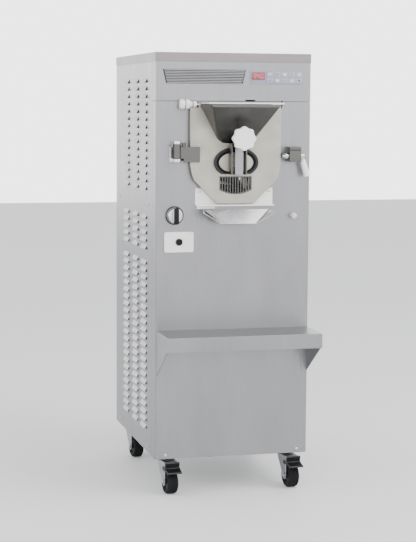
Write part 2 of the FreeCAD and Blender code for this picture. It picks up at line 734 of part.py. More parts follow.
def make_beater():
    rim = front - size.barrel_proud
    floor_y = rim + size.barrel_length - size.barrel_end
    hub_span = (floor_y - 18, floor_y - 3)
    nose_span = (front + 38, front + 50)
    parts = [rod("beater_hub", "y", 34.0, hub_span, 0, axis_z),
             rod("beater_nose", "y", 16.0, nose_span, 0, axis_z)]
    blades = []
    half_bar = size.beater_bar / 2
    beater_radius = size.barrel_bore - size.beater_inset
    blade_tip = size.barrel_bore - size.blade_gap
    for index in range(3):
        turn = Rotation(Vector(0, 1, 0), 60.0 + 120.0 * index)
        bar = block("bar_%d_box" % index, (beater_radius - half_bar, beater_radius + half_bar),
                    (nose_span[0] - front, hub_span[1] - front), (-half_bar, half_bar))
        rear_spoke = block("spoke_%d_box" % index, (0, beater_radius),
                           (hub_span[0] - front, hub_span[1] - front), (-half_bar, half_bar))
        front_spoke = block("arm_%d_box" % index, (0, beater_radius),
                            (nose_span[0] - front, nose_span[1] - front), (-half_bar, half_bar))
        arm = fuse("beater_arm_%d" % index, bar, rear_spoke, front_spoke)
        parts.append(put(arm, 0, front, axis_z, turn))
        blade = block("blade_%d_box" % index,
                      (blade_tip - size.blade_width, blade_tip), (nose_span[0] - front, hub_span[0] - front),
                      (half_bar, half_bar + size.blade_thickness))
        holder = group("blade_%d" % index, blade)
        blades.append(put(holder, 0, front, axis_z, turn))
    shaft_hole = rod("beater_shaft_hole", "y", size.shaft_radius, (hub_span[0] - 5, hub_span[1] + 5), 0,
                     axis_z)
    node(cut("beater", fuse("beater_body", *parts), shaft_hole), "beater")
    node(group("scraper_blades", *blades), "scraper_blades")
    shaft = rod("drive_shaft", "y", size.shaft_radius, (hub_span[0], pulley_span()[1]), 0, axis_z)
    node(shaft, "drive_shaft")


def pulley_span():
    middle = front + size.pulley_back
    return (middle - size.pulley_width / 2, middle + size.pulley_width / 2)


def pulley(name, radius, bore, height):
    """A flat belt pulley with a web and two low flanges."""
    span = pulley_span()
    belt_span = (front + size.pulley_back - size.belt_width / 2 - 0.5,
                 front + size.pulley_back + size.belt_width / 2 + 0.5)
    rims = [rod(name + "_rim", "y", radius, span, 0, height),
            rod(name + "_flange_0", "y", radius + 3, (span[0], belt_span[0]), 0, height),
            rod(name + "_flange_1", "y", radius + 3, (belt_span[1], span[1]), 0, height)]
    hole = rod(name + "_hole", "y", bore, (span[0] - 1, span[1] + 1), 0, height)
    return rims, hole


def make_pulleys():
    rims, hole = pulley("driven", size.driven_radius, size.shaft_radius, axis_z)
    node(cut("driven_pulley", fuse("driven_body", *rims), hole), "driven_pulley")
    height = axis_z - size.belt_centres
    rims, hole = pulley("small", size.motor_pulley_radius, 5.0, height)
    stub_radius = 12.0
    motor_back = front + 180.0 + size.motor_length
    stub = rod("motor_stub", "y", stub_radius, (motor_back - 18, pulley_span()[1]), 0, height)
    node(fuse("motor_pulley", *rims, stub), "motor_pulley")
    body = rod("motor_body", "y", size.motor_radius, (front + 180.0, motor_back), 0, height)
    foot = block("motor_foot", (-70.0, 70.0), (front + 200.0, motor_back - 20), (motor_shelf(), height))
    bore = rod("motor_bore", "y", stub_radius + size.running_gap, (motor_back - 20, motor_back + 1), 0,
               height)
    node(cut("beater_motor", fuse("motor_shell", body, foot), bore), "beater_motor")


def belt_loop(large, small, centres):
    """The outline of a belt round two pulleys, large above small, as a face in the XZ plane."""
    lean = math.asin((large - small) / centres)
    points = {}
    for hand in (-1, 1):
        points[hand] = (Vector(hand * large * math.cos(lean), 0, -large * math.sin(lean)),
                        Vector(hand * small * math.cos(lean), 0, -small * math.sin(lean) - centres))
    edges = [Part.LineSegment(points[-1][1], points[-1][0]),
             Part.Arc(points[-1][0], Vector(0, 0, large), points[1][0]),
             Part.LineSegment(points[1][0], points[1][1]),
             Part.Arc(points[1][1], Vector(0, 0, -centres - small), points[-1][1])]
    return Part.Face(Part.Wire([edge.toShape() for edge in edges]))


def make_belt():
    gap = size.fit_gap.value
    inner = [size.driven_radius.value + gap, size.motor_pulley_radius.value + gap]
    outer = [radius + size.belt_thickness.value for radius in inner]
    centres = size.belt_centres.value
    width = Vector(0, size.belt_width.value, 0)
    loop = belt_loop(outer[0], outer[1], centres).extrude(width)
    loop = loop.cut(belt_loop(inner[0], inner[1], centres).extrude(width))
    at = (0, front + size.pulley_back - size.belt_width / 2, axis_z)
    node(shaped("drive_belt", loop, at), "drive_belt")


def make_refrigeration():
    floor = base + size.base_thickness
    x, y = -95.0, front + 200.0
    body_top = motor_shelf() - size.base_thickness - size.compressor_clear
    shell = fuse("compressor_shell",
                 rod("compressor_can", "z", size.compressor_radius, (floor + 10, body_top - 30), x, y),
                 cone("compressor_dome", "z", (size.compressor_radius, 62.0), (body_top - 30, body_top),
                      x, y),
                 block("compressor_feet", (x - 100, x + 100), (y - 60, y + 60), (floor, floor + 12)))
    shell.Refine = False
    node(shell, "compressor")
    half = size.condenser_width / 2
    rear = back - size.sheet - size.frame_gap - size.post - 8
    near = rear - size.condenser_depth
    low = floor + size.post + 1
    high = motor_shelf() - size.condenser_clear
    fan_z = (low + high) / 2
    fan_radius = (high - low) / 2 - size.fan_margin
    core = block("condenser_core", (-half, half), (near, rear), (low, high))
    shroud = cut("condenser_shroud", block("shroud_box", (-half, half), (near - 25, near), (low, high)),
                 rod("shroud_hole", "y", fan_radius + 6, (near - 30, near + 5), 0, fan_z))
    motor = rod("fan_motor", "y", 34.0, (near - 120, near - 62), 0, fan_z)
    strap = block("fan_strap", (-half, half), (near - 124, near - 120), (fan_z - 15, fan_z + 15))
    legs = [block("fan_leg_left", (-half, 4 - half), (near - 120, near - 25), (fan_z - 15, fan_z + 15)),
            block("fan_leg_right", (half - 4, half), (near - 120, near - 25), (fan_z - 15, fan_z + 15))]
    node(fuse("condenser", core, shroud, motor, strap, *legs), "condenser")
    hub = rod("fan_hub", "y", 30.0, (near - 60, near - 34), 0, fan_z)
    blades = []
    for index in range(5):
        blade = block("fan_blade_%d_box" % index, (20.0, fan_radius), (-1.5, 1.5), (-26.0, 26.0))
        tilted = group("fan_blade_%d_tilt" % index, blade)
        put(tilted, 0, 0, 0, Rotation(Vector(1, 0, 0), 20.0))
        holder = group("fan_blade_%d" % index, tilted)
        blades.append(put(holder, 0, near - 47, fan_z, Rotation(Vector(0, 1, 0), 72.0 * index)))
    node(fuse("condenser_fan", hub, *blades), "condenser_fan")
    make_pipes(x, y, body_top, (near + rear) / 2, high)


def make_pipes(compressor_x, compressor_y, body_top, condenser_y, condenser_top):
    """Hot gas, liquid and suction pipes; each is straight runs joined by tangent bends."""
    level = (condenser_top + 20).value
    jacket_back = (front - size.barrel_proud + size.barrel_length).value
    jacket_x = (size.barrel_bore - 13).value
    jacket_z = (axis_z - size.barrel_bore + 14).value
    y_condenser = condenser_y.value
    hot_x = compressor_x + 20
    suction_x = compressor_x - 20
    suction_y = jacket_back + 64.0
    y_compressor = compressor_y.value
    z_top = body_top.value
    routes = (
        [(hot_x, y_compressor, z_top), (hot_x, y_compressor, level), (hot_x, y_condenser, level),
         (hot_x, y_condenser, condenser_top.value)],
        [(jacket_x, y_condenser, condenser_top.value), (jacket_x, y_condenser, jacket_z),
         (jacket_x, jacket_back, jacket_z)],
        [(suction_x, jacket_back, jacket_z), (suction_x, suction_y, jacket_z), (suction_x, suction_y, level),
         (suction_x, y_compressor, level), (suction_x, y_compressor, z_top)],
    )
    radius = size.pipe_radius.value
    bend = size.pipe_bend.value
    pipes = []
    for index, route in enumerate(routes):
        points = [Vector(*point) for point in route]
        path = rounded_path(points, [bend] * len(points))
        start = (points[1] - points[0]).normalize()
        section = Part.Wire(Part.makeCircle(radius, points[0], start))
        pipes.append(shaped("pipe_%d" % index, path.makePipeShell([section], True, False)))
    node(group("refrigerant_pipes", *pipes), "refrigerant_pipes")


# ---------------------------------------------------------------- door

def outlet_opening(name, gap, span):
    """The outlet's section, smaller by a gap: a flat top and a bottom curved round the barrel's axis."""
    half_width = size.outlet_half_width - gap
    disc = rod(name + "_disc", "y", outlet_radius - gap, span, 0, axis_z)
    window = block(name + "_window", (-half_width, half_width), span,
                   (axis_z - outlet_radius, axis_z - size.outlet_top - gap))
    return common(name, disc, window)


def make_door():
    half = size.door_half_width
    y = (door_face, door_rear)
    disc = rod("door_disc", "y", half, y, 0, axis_z)
    upper = block("door_upper", (-half, half), y, (axis_z, axis_z + size.door_top))
    corner = half - door_lean
    outline = pad("door_outline", "XZ_Plane",
                  [(-half, corner), (-door_flat_half, -size.door_bottom),
                   (door_flat_half, -size.door_bottom),
                   (half, corner), (half, size.door_top), (-half, size.door_top)],
                  size.door_thickness, (0, door_rear, axis_z))
    plate = common("door_round", fuse("door_blank", disc, upper), outline)
    plug_end = door_rear + size.plug_depth
    plug = rod("door_plug", "y", plug_radius, (door_rear, plug_end), 0, axis_z)
    ears = []
    for index, sign in enumerate((-1, 1)):
        x = sorted((ear_inner() * sign, (ear_inner() + ear_width) * sign), key=number)
        ears.append(block("door_ear_%d" % index, x, (door_face, door_face + 10),
                          (axis_z + size.door_top - 1, axis_z + size.hopper_top + size.knuckle_radius)))
    solid = fuse("door_solid", plate, plug, *ears)
    whole = (door_face - 1, plug_end + 1)
    duct = outlet_opening("outlet_duct", 0, whole)
    inlet_radius = plug_radius - size.inlet_wall
    inlet = common("inlet_hole", rod("inlet_disc", "y", inlet_radius, whole, 0, axis_z),
                   block("inlet_window", (-size.inlet_half_width, size.inlet_half_width), whole,
                         (axis_z + size.inlet_bottom, axis_z + inlet_radius)))
    ear_outer = ear_inner() + ear_width
    rod_bore = rod("ear_bore", "x", size.pin_radius + size.running_gap, (-ear_outer - 1, ear_outer + 1),
                   front - size.pin_forward, axis_z + size.hopper_top)
    node(cut("door_plate", solid, duct, inlet, rod_bore), "door_plate")

    seal_outer = size.barrel_bore + size.barrel_wall - 1
    node(ring("door_gasket", "y", seal_outer, seal_outer - size.gasket_width,
              (door_rear, front - size.barrel_proud - 0.2), 0, axis_z), "door_gasket")
    make_grille()
    make_hopper()
    make_lid()
    make_gate()
    make_hinge()


ear_width = 7.0  # each ear, along the lid's rod


def ear_inner():
    """Inner faces of the two ears that hold the lid's rod."""
    return size.hopper_front_half + 1


def make_grille():
    """Upright bars across the outer end of the outlet."""
    span = (door_face + 1, door_face + 1 + size.grille_thickness)
    gap = size.fit_gap / 2
    plate = outlet_opening("grille_plate", gap, span)
    slot_count = 12
    rim = 3.0
    pitch = (size.outlet_half_width * 2 - rim) / slot_count
    slots = []
    for index in range(slot_count):
        left = rim - size.outlet_half_width + pitch * index
        right = left + pitch - size.grille_bar
        far = max(left, right, key=lambda place: abs(number(place)))
        low = root((outlet_radius - rim) * (outlet_radius - rim) - far * far)
        slots.append(block("grille_slot_%d" % index, (left, right), (span[0] - 1, span[1] + 1),
                           (axis_z - low, axis_z - size.outlet_top - rim)))
    node(cut("outlet_grille", plate, *slots), "outlet_grille")


def trough(y, half_top, half_bottom, depth, rounding, height):
    """The hopper's section at one depth: a flat-topped V with a rounded bottom, as a wire."""
    corners = [Vector(-half_top, y, height), Vector(half_top, y, height),
               Vector(half_bottom, y, height - depth), Vector(-half_bottom, y, height - depth)]
    return rounded_path(corners, [0, 0, rounding, rounding], closed=True)


def make_hopper():
    """A tapered sheet hopper, closed in front and open at the back, where the door closes it."""
    rim = (axis_z + size.hopper_top).value
    y_door = door_face.value
    y_front = y_door - size.hopper_reach.value
    wall = size.hopper_wall.value
    half_top, half_front = size.hopper_half_width.value, size.hopper_front_half.value
    depth, lip = size.hopper_depth.value, size.hopper_lip.value
    half_bottom, rounding = size.hopper_bottom_half.value, size.hopper_rounding.value
    front_taper = 6.0
    small = 4.0
    slope_wall = wall * math.hypot(depth - lip, y_door - y_front) / (y_door - y_front)
    outer = Part.makeLoft([trough(y_door, half_top, half_bottom, depth, rounding, rim),
                           trough(y_front, half_front, half_front - front_taper, lip, small,
                                  rim)], True, True)
    inner = Part.makeLoft([trough(y_door, half_top - wall, half_bottom - wall, depth - slope_wall,
                                  rounding - wall, rim),
                           trough(y_front + wall, half_front - wall, half_front - front_taper - wall,
                                  lip + wall * (depth - lip) / (y_door - y_front) - slope_wall,
                                  small - wall, rim)], True, True)
    shell = outer.cut(inner)
    knuckle_front = (front - size.pin_forward - size.knuckle_radius - 1).value
    relief_low = rim - size.knuckle_radius.value - 1
    relief = Part.makeBox(4 * half_top, y_door + 1 - knuckle_front, 2 * size.knuckle_radius.value + 2,
                          Vector(-2 * half_top, knuckle_front, relief_low))
    shell = shell.cut(relief)
    node(shaped("feed_hopper", shell.Solids[0]), "feed_hopper")


def make_lid():
    """The rod with its knob and clip, and the lid that turns on it."""
    y = front - size.pin_forward
    z = axis_z + size.hopper_top
    neck_end = -ear_inner() - ear_width - size.fit_gap
    knob_end = -size.door_half_width - size.pin_knob_gap
    clip_x = size.door_half_width + 3
    clip_half = 1.25
    clip = block("clip_leg", (clip_x - clip_half, clip_x + clip_half), (y - 1.2, y + 1.2), (z - 14, z + 15))
    loop = ring("clip_eye", "x", 5.5, 3.2, (clip_x - clip_half, clip_x + clip_half), y, z - 14)
    pin = fuse("lid_pin", rod("lid_rod", "x", size.pin_radius, (knob_end - 5, clip_x + 5), y, z),
               rod("lid_knob", "x", size.pin_knob_radius, (knob_end - size.pin_knob_length, knob_end), y, z),
               rod("lid_neck", "x", size.pin_neck_radius, (knob_end, neck_end), y, z), clip, loop)
    node(pin, "lid_pin")

    low = z + 1
    high = low + size.lid_thickness
    lid_front = door_face - size.hopper_reach - size.lid_edge
    plate = block("lid_plate", (-size.lid_half_width, size.lid_half_width),
                  (lid_front, y - size.knuckle_radius - 1), (low, high))
    reach = ear_inner() - 1
    knuckles = []
    for index, span in enumerate(((-reach, -40.0), (40.0, reach))):
        tube_part = rod("knuckle_%d" % index, "x", size.knuckle_radius, span, y, z)
        web = block("knuckle_web_%d" % index, span, (y - size.knuckle_radius - 2, y), (low, high))
        knuckles += [tube_part, web]
    bore = rod("knuckle_bore", "x", size.pin_radius + size.running_gap, (-reach - 1, reach + 1), y, z)
    node(cut("hopper_lid", fuse("lid_solid", plate, *knuckles), bore), "hopper_lid")


def oval(name, half_width, half_height, span, height):
    """An oval disc across the Y axis."""
    ellipse = Part.Ellipse(Vector(), number(half_width), number(half_height))
    face = Part.Face(Part.Wire(ellipse.toShape()))
    face.rotate(Vector(), Vector(1, 0, 0), 90)
    solid = face.extrude(Vector(0, number(span[0] - span[1]), 0))
    return shaped(name, solid, (0, span[1], height))


def make_gate():
    """The oval gate, its guides, the bar that lifts it and the knob on the bar."""
    height = axis_z - size.gate_drop
    flat = height - size.gate_flat
    rear = door_face - size.fit_gap
    gate_front = rear - size.gate_thickness
    wide = size.gate_half_width
    tall = size.gate_half_height
    seal_width = 7.0
    rim_width = 8.0
    keep = block("gate_keep", (-wide - 1, wide + 1), (gate_front - 5, rear + 5), (flat, height + tall + 1))
    disc = oval("gate_disc", wide, tall, (gate_front, rear), height)
    recess = oval("gate_recess", wide - rim_width, tall - rim_width, (gate_front - 1, gate_front + 3),
                  height)
    gate = common("gate_body", cut("gate_dish", disc, recess), keep)
    clevis = block("gate_boss", (-bar_gap(), bar_gap()), (gate_front - 2, gate_front + 4),
                   (axis_z - size.guide_bottom, axis_z - size.guide_bottom + 20))
    node(fuse("gate_plate", gate, clevis), "gate_plate")
    seal_floor = flat + 4
    seal = cut("seal_ring", oval("seal_outer", wide - rim_width, tall - rim_width,
                                 (gate_front + 0.5, gate_front + 3), height),
               oval("seal_inner", wide - rim_width - seal_width, tall - rim_width - seal_width,
                    (gate_front - 1, gate_front + 4), height),
               block("seal_cut", (-wide, wide), (gate_front - 2, gate_front + 5),
                     (flat - 20, seal_floor)),
               block("seal_boss_cut", (-bar_gap() - 1, bar_gap() + 1), (gate_front - 2, gate_front + 5),
                     (flat - 20, height)))
    node(seal, "gate_seal")

    cheek_low = axis_z - size.guide_bottom
    cheek_high = cheek_low + size.guide_height
    block_low = height + tall + 2
    cheeks = []
    for index, sign in enumerate((-1, 1)):
        x = sorted((size.guide_half_gap * sign, (size.guide_half_gap + size.guide_thickness) * sign),
                   key=number)
        cheeks.append(block("cheek_%d" % index, x, (door_face - size.guide_front, gate_front - 4),
                            (cheek_low, cheek_high)))
        cheeks.append(block("cheek_root_%d" % index, x, (gate_front - 4, door_face),
                            (block_low, cheek_high)))
    outer = size.guide_half_gap + size.guide_thickness
    bridge = block("cheek_bridge", (-outer, outer), (door_face - 10, door_face), (block_low, cheek_high))
    node(fuse("gate_guides", bridge, *cheeks), "gate_guides")

    half = size.bar_half_width
    bar_front = bar_face()
    bar_back = bar_front + size.bar_thickness
    knob_z = axis_z + size.knob_rise
    clevis_high = cheek_low + 19
    bar = fuse("gate_bar", block("bar_plate", (-half, half), (bar_front, bar_back), (cheek_low, knob_z)),
               rod("bar_head", "y", half, (bar_front, bar_back), 0, knob_z),
               block("bar_leg_left", (-half, -bar_gap()), (bar_back - 1, gate_front),
                     (cheek_low, clevis_high)),
               block("bar_leg_right", (bar_gap(), half), (bar_back - 1, gate_front),
                     (cheek_low, clevis_high)),
               block("bar_cross", (-half, half), (bar_back - 1, gate_front - 2),
                     (clevis_high - 5, clevis_high)),
               rod("bar_stem", "y", 7.0, (bar_front - size.knob_stem + 2, bar_front + 1), 0, knob_z))
    node(bar, "gate_bar")
    make_knob(knob_z)


def bar_gap():
    """Half of the gap between the gate bar's two legs."""
    return size.bar_half_width - 5


def bar_face():
    """Front of the gate bar."""
    return door_face - size.guide_front + 1


def make_knob(height):
    """A clamping knob with eight lobes."""
    back_y = bar_face() - size.knob_stem
    front_y = back_y - size.knob_thickness
    core = rod("knob_core", "y", size.knob_radius, (front_y, back_y), 0, height)
    lobes = []
    for index in range(8):
        lobe = rod("knob_lobe_%d_pin" % index, "y", size.lobe_radius, (0, size.knob_thickness),
                   size.knob_radius - 5, 0)
        holder = group("knob_lobe_%d" % index, lobe)
        lobes.append(put(holder, 0, front_y, height, Rotation(Vector(0, 1, 0), 45.0 * index)))
    neck = rod("knob_neck", "y", 14.0, (back_y - 1, back_y + 1.5), 0, height)
    socket = rod("knob_socket", "y", 7.0 + size.running_gap, (back_y - 2, back_y + 3), 0, height)
    node(cut("gate_knob", fuse("knob_solid", core, neck, *lobes), socket), "gate_knob")


def make_hinge():
    """Leaf on the door, and the base plate with its two ears and the pin."""
    x = -size.door_half_width - size.hinge_offset
    y = front - size.hinge_forward
    low = axis_z - 4
    high = low + size.hinge_height
    leaf_right = -size.door_half_width + 28.0
    knuckle_high = high + size.hinge_rise - size.ear_height - 1
    knuckle_low = low + size.ear_height + 1
    leaf = block("leaf_plate", (x + 19, leaf_right), (y - 5, y - 1), (low, high))
    spacer = block("leaf_spacer", (-size.door_half_width + 0.5, leaf_right), (y - 1, door_face), (low, high))
    knuckle = rod("leaf_knuckle", "z", size.hinge_knuckle, (knuckle_low, knuckle_high), x, y)
    arm = block("leaf_arm", (x, x + 20), (y - 5, y + 5), (knuckle_low, high))
    bore = rod("leaf_bore", "z", size.hinge_pin_radius + size.running_gap, (low - 1, knuckle_high + 1), x, y)
    bush = rod("leaf_bush", "z", 6.5, (high - 1, high + 13), x + 19.5, y - 2)
    node(cut("hinge_leaf", fuse("leaf_solid", leaf, spacer, knuckle, arm, bush), bore), "hinge_leaf")

    plate = block("hinge_plate", (x - 18, x + 37), (front - 4, front), (low, high))
    ears = []
    ear_top = high + size.hinge_rise
    for index, z in enumerate(((low, low + size.ear_height), (ear_top - size.ear_height, ear_top))):
        reach = block("ear_reach_%d" % index, (x - size.hinge_knuckle, x + size.hinge_knuckle),
                      (y, front), z)
        eye = rod("ear_eye_%d" % index, "z", size.hinge_knuckle, z, x, y)
        ears += [reach, eye]
    web = block("ear_web", (x - size.hinge_knuckle, x + size.hinge_knuckle), (front - 4, front),
                (high - 1, ear_top))
    pin = rod("hinge_pin", "z", size.hinge_pin_radius, (low, ear_top), x, y)
    node(fuse("hinge_base", plate, web, pin, *ears), "hinge_base")


# ---------------------------------------------------------------- fittings on the front

def make_clamp():
    """A turning clamp at the door's free edge: bracket, shaft with its nose, and a grip."""
    nose_x = size.door_half_width + size.clamp_gap
    left = nose_x + size.clamp_nose
    right = left + size.clamp_width
    z = axis_z + size.clamp_rise
    y = door_face - size.clamp_nose_radius + 2
    low = axis_z - 3
    high = low + size.clamp_height
    forward = front - size.clamp_forward
    outer = block("clamp_outer", (left, right), (forward, front), (low, high))
    hollow = block("clamp_hollow", (left + 4, right - 4), (forward + 3, front + 1), (low - 1, high - 4))
    bore = rod("clamp_bore", "x", size.clamp_shaft_radius + size.running_gap, (left - 1, right + 1), y, z)
    groove = block("clamp_groove", (left - 1, right + 1), (forward - 1, forward + 0.8),
                   (high - 11, high - 10))
    node(cut("clamp_bracket", outer, hollow, bore, groove), "clamp_bracket")

    nose = rod("clamp_nose", "x", size.clamp_nose_radius, (nose_x + 8, left - size.fit_gap), y, z)
    tip = cone("clamp_tip", "x", (4.0, size.clamp_nose_radius), (nose_x, nose_x + 8), y, z)
    shaft = rod("clamp_shaft", "x", size.clamp_shaft_radius, (left - 2, right + 14), y, z)
    boss = rod("clamp_boss", "x", 9.0, (right + size.fit_gap, right + 11), y, z)
    lever = pad("clamp_arm", "XZ_Plane", [(1, -2), (9, -2), (12, -17), (5, -17)], 8.0,
                (right + 1, y + 4, z))
    node(fuse("clamp_lever", nose, tip, shaft, boss, lever), "clamp_lever")

    grip = doc.addObject("Part::Cone", "clamp_grip")
    bind(grip, Radius1=7.5, Radius2=10.5, Height=size.grip_length)
    lean = Rotation(Vector(0, 1, 0), 180 - 17.0)
    node(put(grip, right + 9, y, z - 11, lean), "clamp_grip")


def chute_plate_thickness():
    return size.door_back - 1


def make_chutes():
    """The plate under the door with its lip, and the discharge chute below it."""
    low = axis_z - size.chute_plate_bottom
    high = axis_z - size.chute_plate_top
    half = chute_plate_half
    y = (front - chute_plate_thickness(), front)
    plate = block("chute_backing", (-half, half), y, (low, high))
    lip = block("chute_lip", (-half, half), (door_face - 4, front), (low - 2, low + 2))
    under = block("chute_under", (-half + 4, -half + 61), (front - 14, front), (low - 11, low - 1))
    clear = rod("chute_clear", "y", size.barrel_bore + size.barrel_wall + 2, (y[0] - 1, front + 1), 0,
                axis_z)
    node(cut("chute_plate", fuse("chute_solid", plate, lip, under), clear), "chute_plate")

    top_z = low - 12
    out = 30.0
    fall = 43.0
    run = 32.0
    top_half = size.chute_half_top.value
    mouth_half = size.chute_half_bottom.value
    thickness = 2.0
    tab = Part.makeBox(2 * top_half, out, thickness, Vector(-top_half, -out, -thickness))
    floor = bent_plate([(-top_half, -out, 0), (top_half, -out, 0), (mouth_half, -out - run, -fall),
                        (-mouth_half, -out - run, -fall)], thickness)
    corner = (top_half + 9.0, -out - 40.0, -7.0)
    flanges = []
    for sign in (-1, 1):
        outline = [(sign * top_half, -out, 0), (sign * corner[0], corner[1], corner[2]),
                   (sign * mouth_half, -out - run, -fall)]
        flanges.append(bent_plate(outline, thickness))
    chute = tab.fuse([floor] + flanges)
    node(shaped("discharge_chute", chute.Solids[0], (0, front, top_z)), "discharge_chute")


def bent_plate(outline, thickness):
    """A flat plate about its outline, thickened half to each side."""
    corners = [Vector(*point) for point in outline]
    face = Part.Face(Part.makePolygon(corners + corners[:1]))
    normal = (corners[1] - corners[0]).cross(corners[2] - corners[0]).normalize()
    face.translate(normal * thickness * -0.5)
    return face.extrude(normal * thickness)


def make_tap():
    """The rinse tap: a flange on the panel and a handle with a blade."""
    x = -size.tap_left
    z = axis_z - size.tap_drop
    flange_front = front - 6
    flange = cone("tap_flange", "y", (size.tap_radius - 2, size.tap_radius), (flange_front, front), x, z)
    node(flange, "tap_flange")
    gap = size.fit_gap
    skirt = cone("tap_skirt", "y", (size.tap_radius - 8, size.tap_radius - 3),
                 (flange_front - 16, flange_front - gap), x, z)
    blade = block("tap_blade", (x - 6, x + 6), (flange_front - 34, flange_front - 15), (z - 25, z + 25))
    node(fuse("tap_handle", skirt, blade), "tap_handle")


def make_switch():
    """A rounded plate and the push button in it."""
    x = -size.switch_left
    z = axis_z - size.switch_drop
    half_width = size.switch_width / 2
    half_height = size.switch_height / 2
    plate = pad("switch_body", "XZ_Plane", [(-half_width, -half_height), (half_width, -half_height),
                                            (half_width, half_height), (-half_width, half_height)],
                size.switch_depth, (x, front, z))
    round_edges(plate, 6.0, runs_along("y"))
    hole = rod("button_well", "y", size.button_radius + size.fit_gap, (front - 20, front + 1), x, z)
    node(cut("switch_plate", plate, hole), "switch_plate")
    button = rod("switch_button", "y", size.button_radius,
                 (front - size.switch_depth - size.button_travel - 1, front + 8), x, z)
    node(button, "switch_button")


def make_stud():
    """A short stud that the cleaned parts hang on."""
    x, z = 191.5, axis_z - 173.0
    stem = rod("stud_stem", "y", size.stud_radius - 3, (front - 18, front), x, z)
    head = rod("stud_head", "y", size.stud_radius, (front - 21, front - 13), x, z)
    flange = rod("stud_flange", "y", size.stud_radius + 1, (front - 3, front), x, z)
    node(fuse("rest_stud", stem, head, flange), "rest_stud")


def make_shelf():
    """A folded shelf on two side brackets."""
    half = size.shelf_width / 2
    thick = size.shelf_sheet
    z = base + size.shelf_height
    depth = size.shelf_depth
    profile = [(0, 0), (-depth, 0), (-depth, -size.shelf_lip), (-depth + 14, -size.shelf_lip),
               (-depth + 14, thick - size.shelf_lip), (thick - depth, thick - size.shelf_lip),
               (thick - depth, -thick), (-thick, -thick), (-thick, -22), (0, -22)]
    node(pad("shelf", "YZ_Plane", profile, size.shelf_width, (-half, front, z)), "shelf")

    side_profile = [(-thick, -22.2), (-thick, -thick - 0.2), (thick - depth + 0.2, -thick - 0.2),
                    (thick - depth + 0.2, thick - size.shelf_lip + 0.2),
                    (-depth + 14.2, thick - size.shelf_lip + 0.2),
                    (-depth + 14.2, -size.shelf_lip - 2), (0, -size.bracket_height), (0, -22.2)]
    brackets = []
    for index, sign in enumerate((-1, 1)):
        x = sorted((half * sign, (half - thick) * sign), key=number)
        cheek = pad("bracket_cheek_%d" % index, "YZ_Plane", side_profile, thick, (x[0], front, z))
        fold_x = sorted((half * sign, (half - 18) * sign), key=number)
        flange = block("bracket_flange_%d" % index, fold_x, (front - thick, front),
                       (z - size.bracket_height, z - 22.2))
        brackets.append(fuse("bracket_%d" % index, cheek, flange))
    node(group("shelf_brackets", *brackets), "shelf_brackets")


# ---------------------------------------------------------------- casters

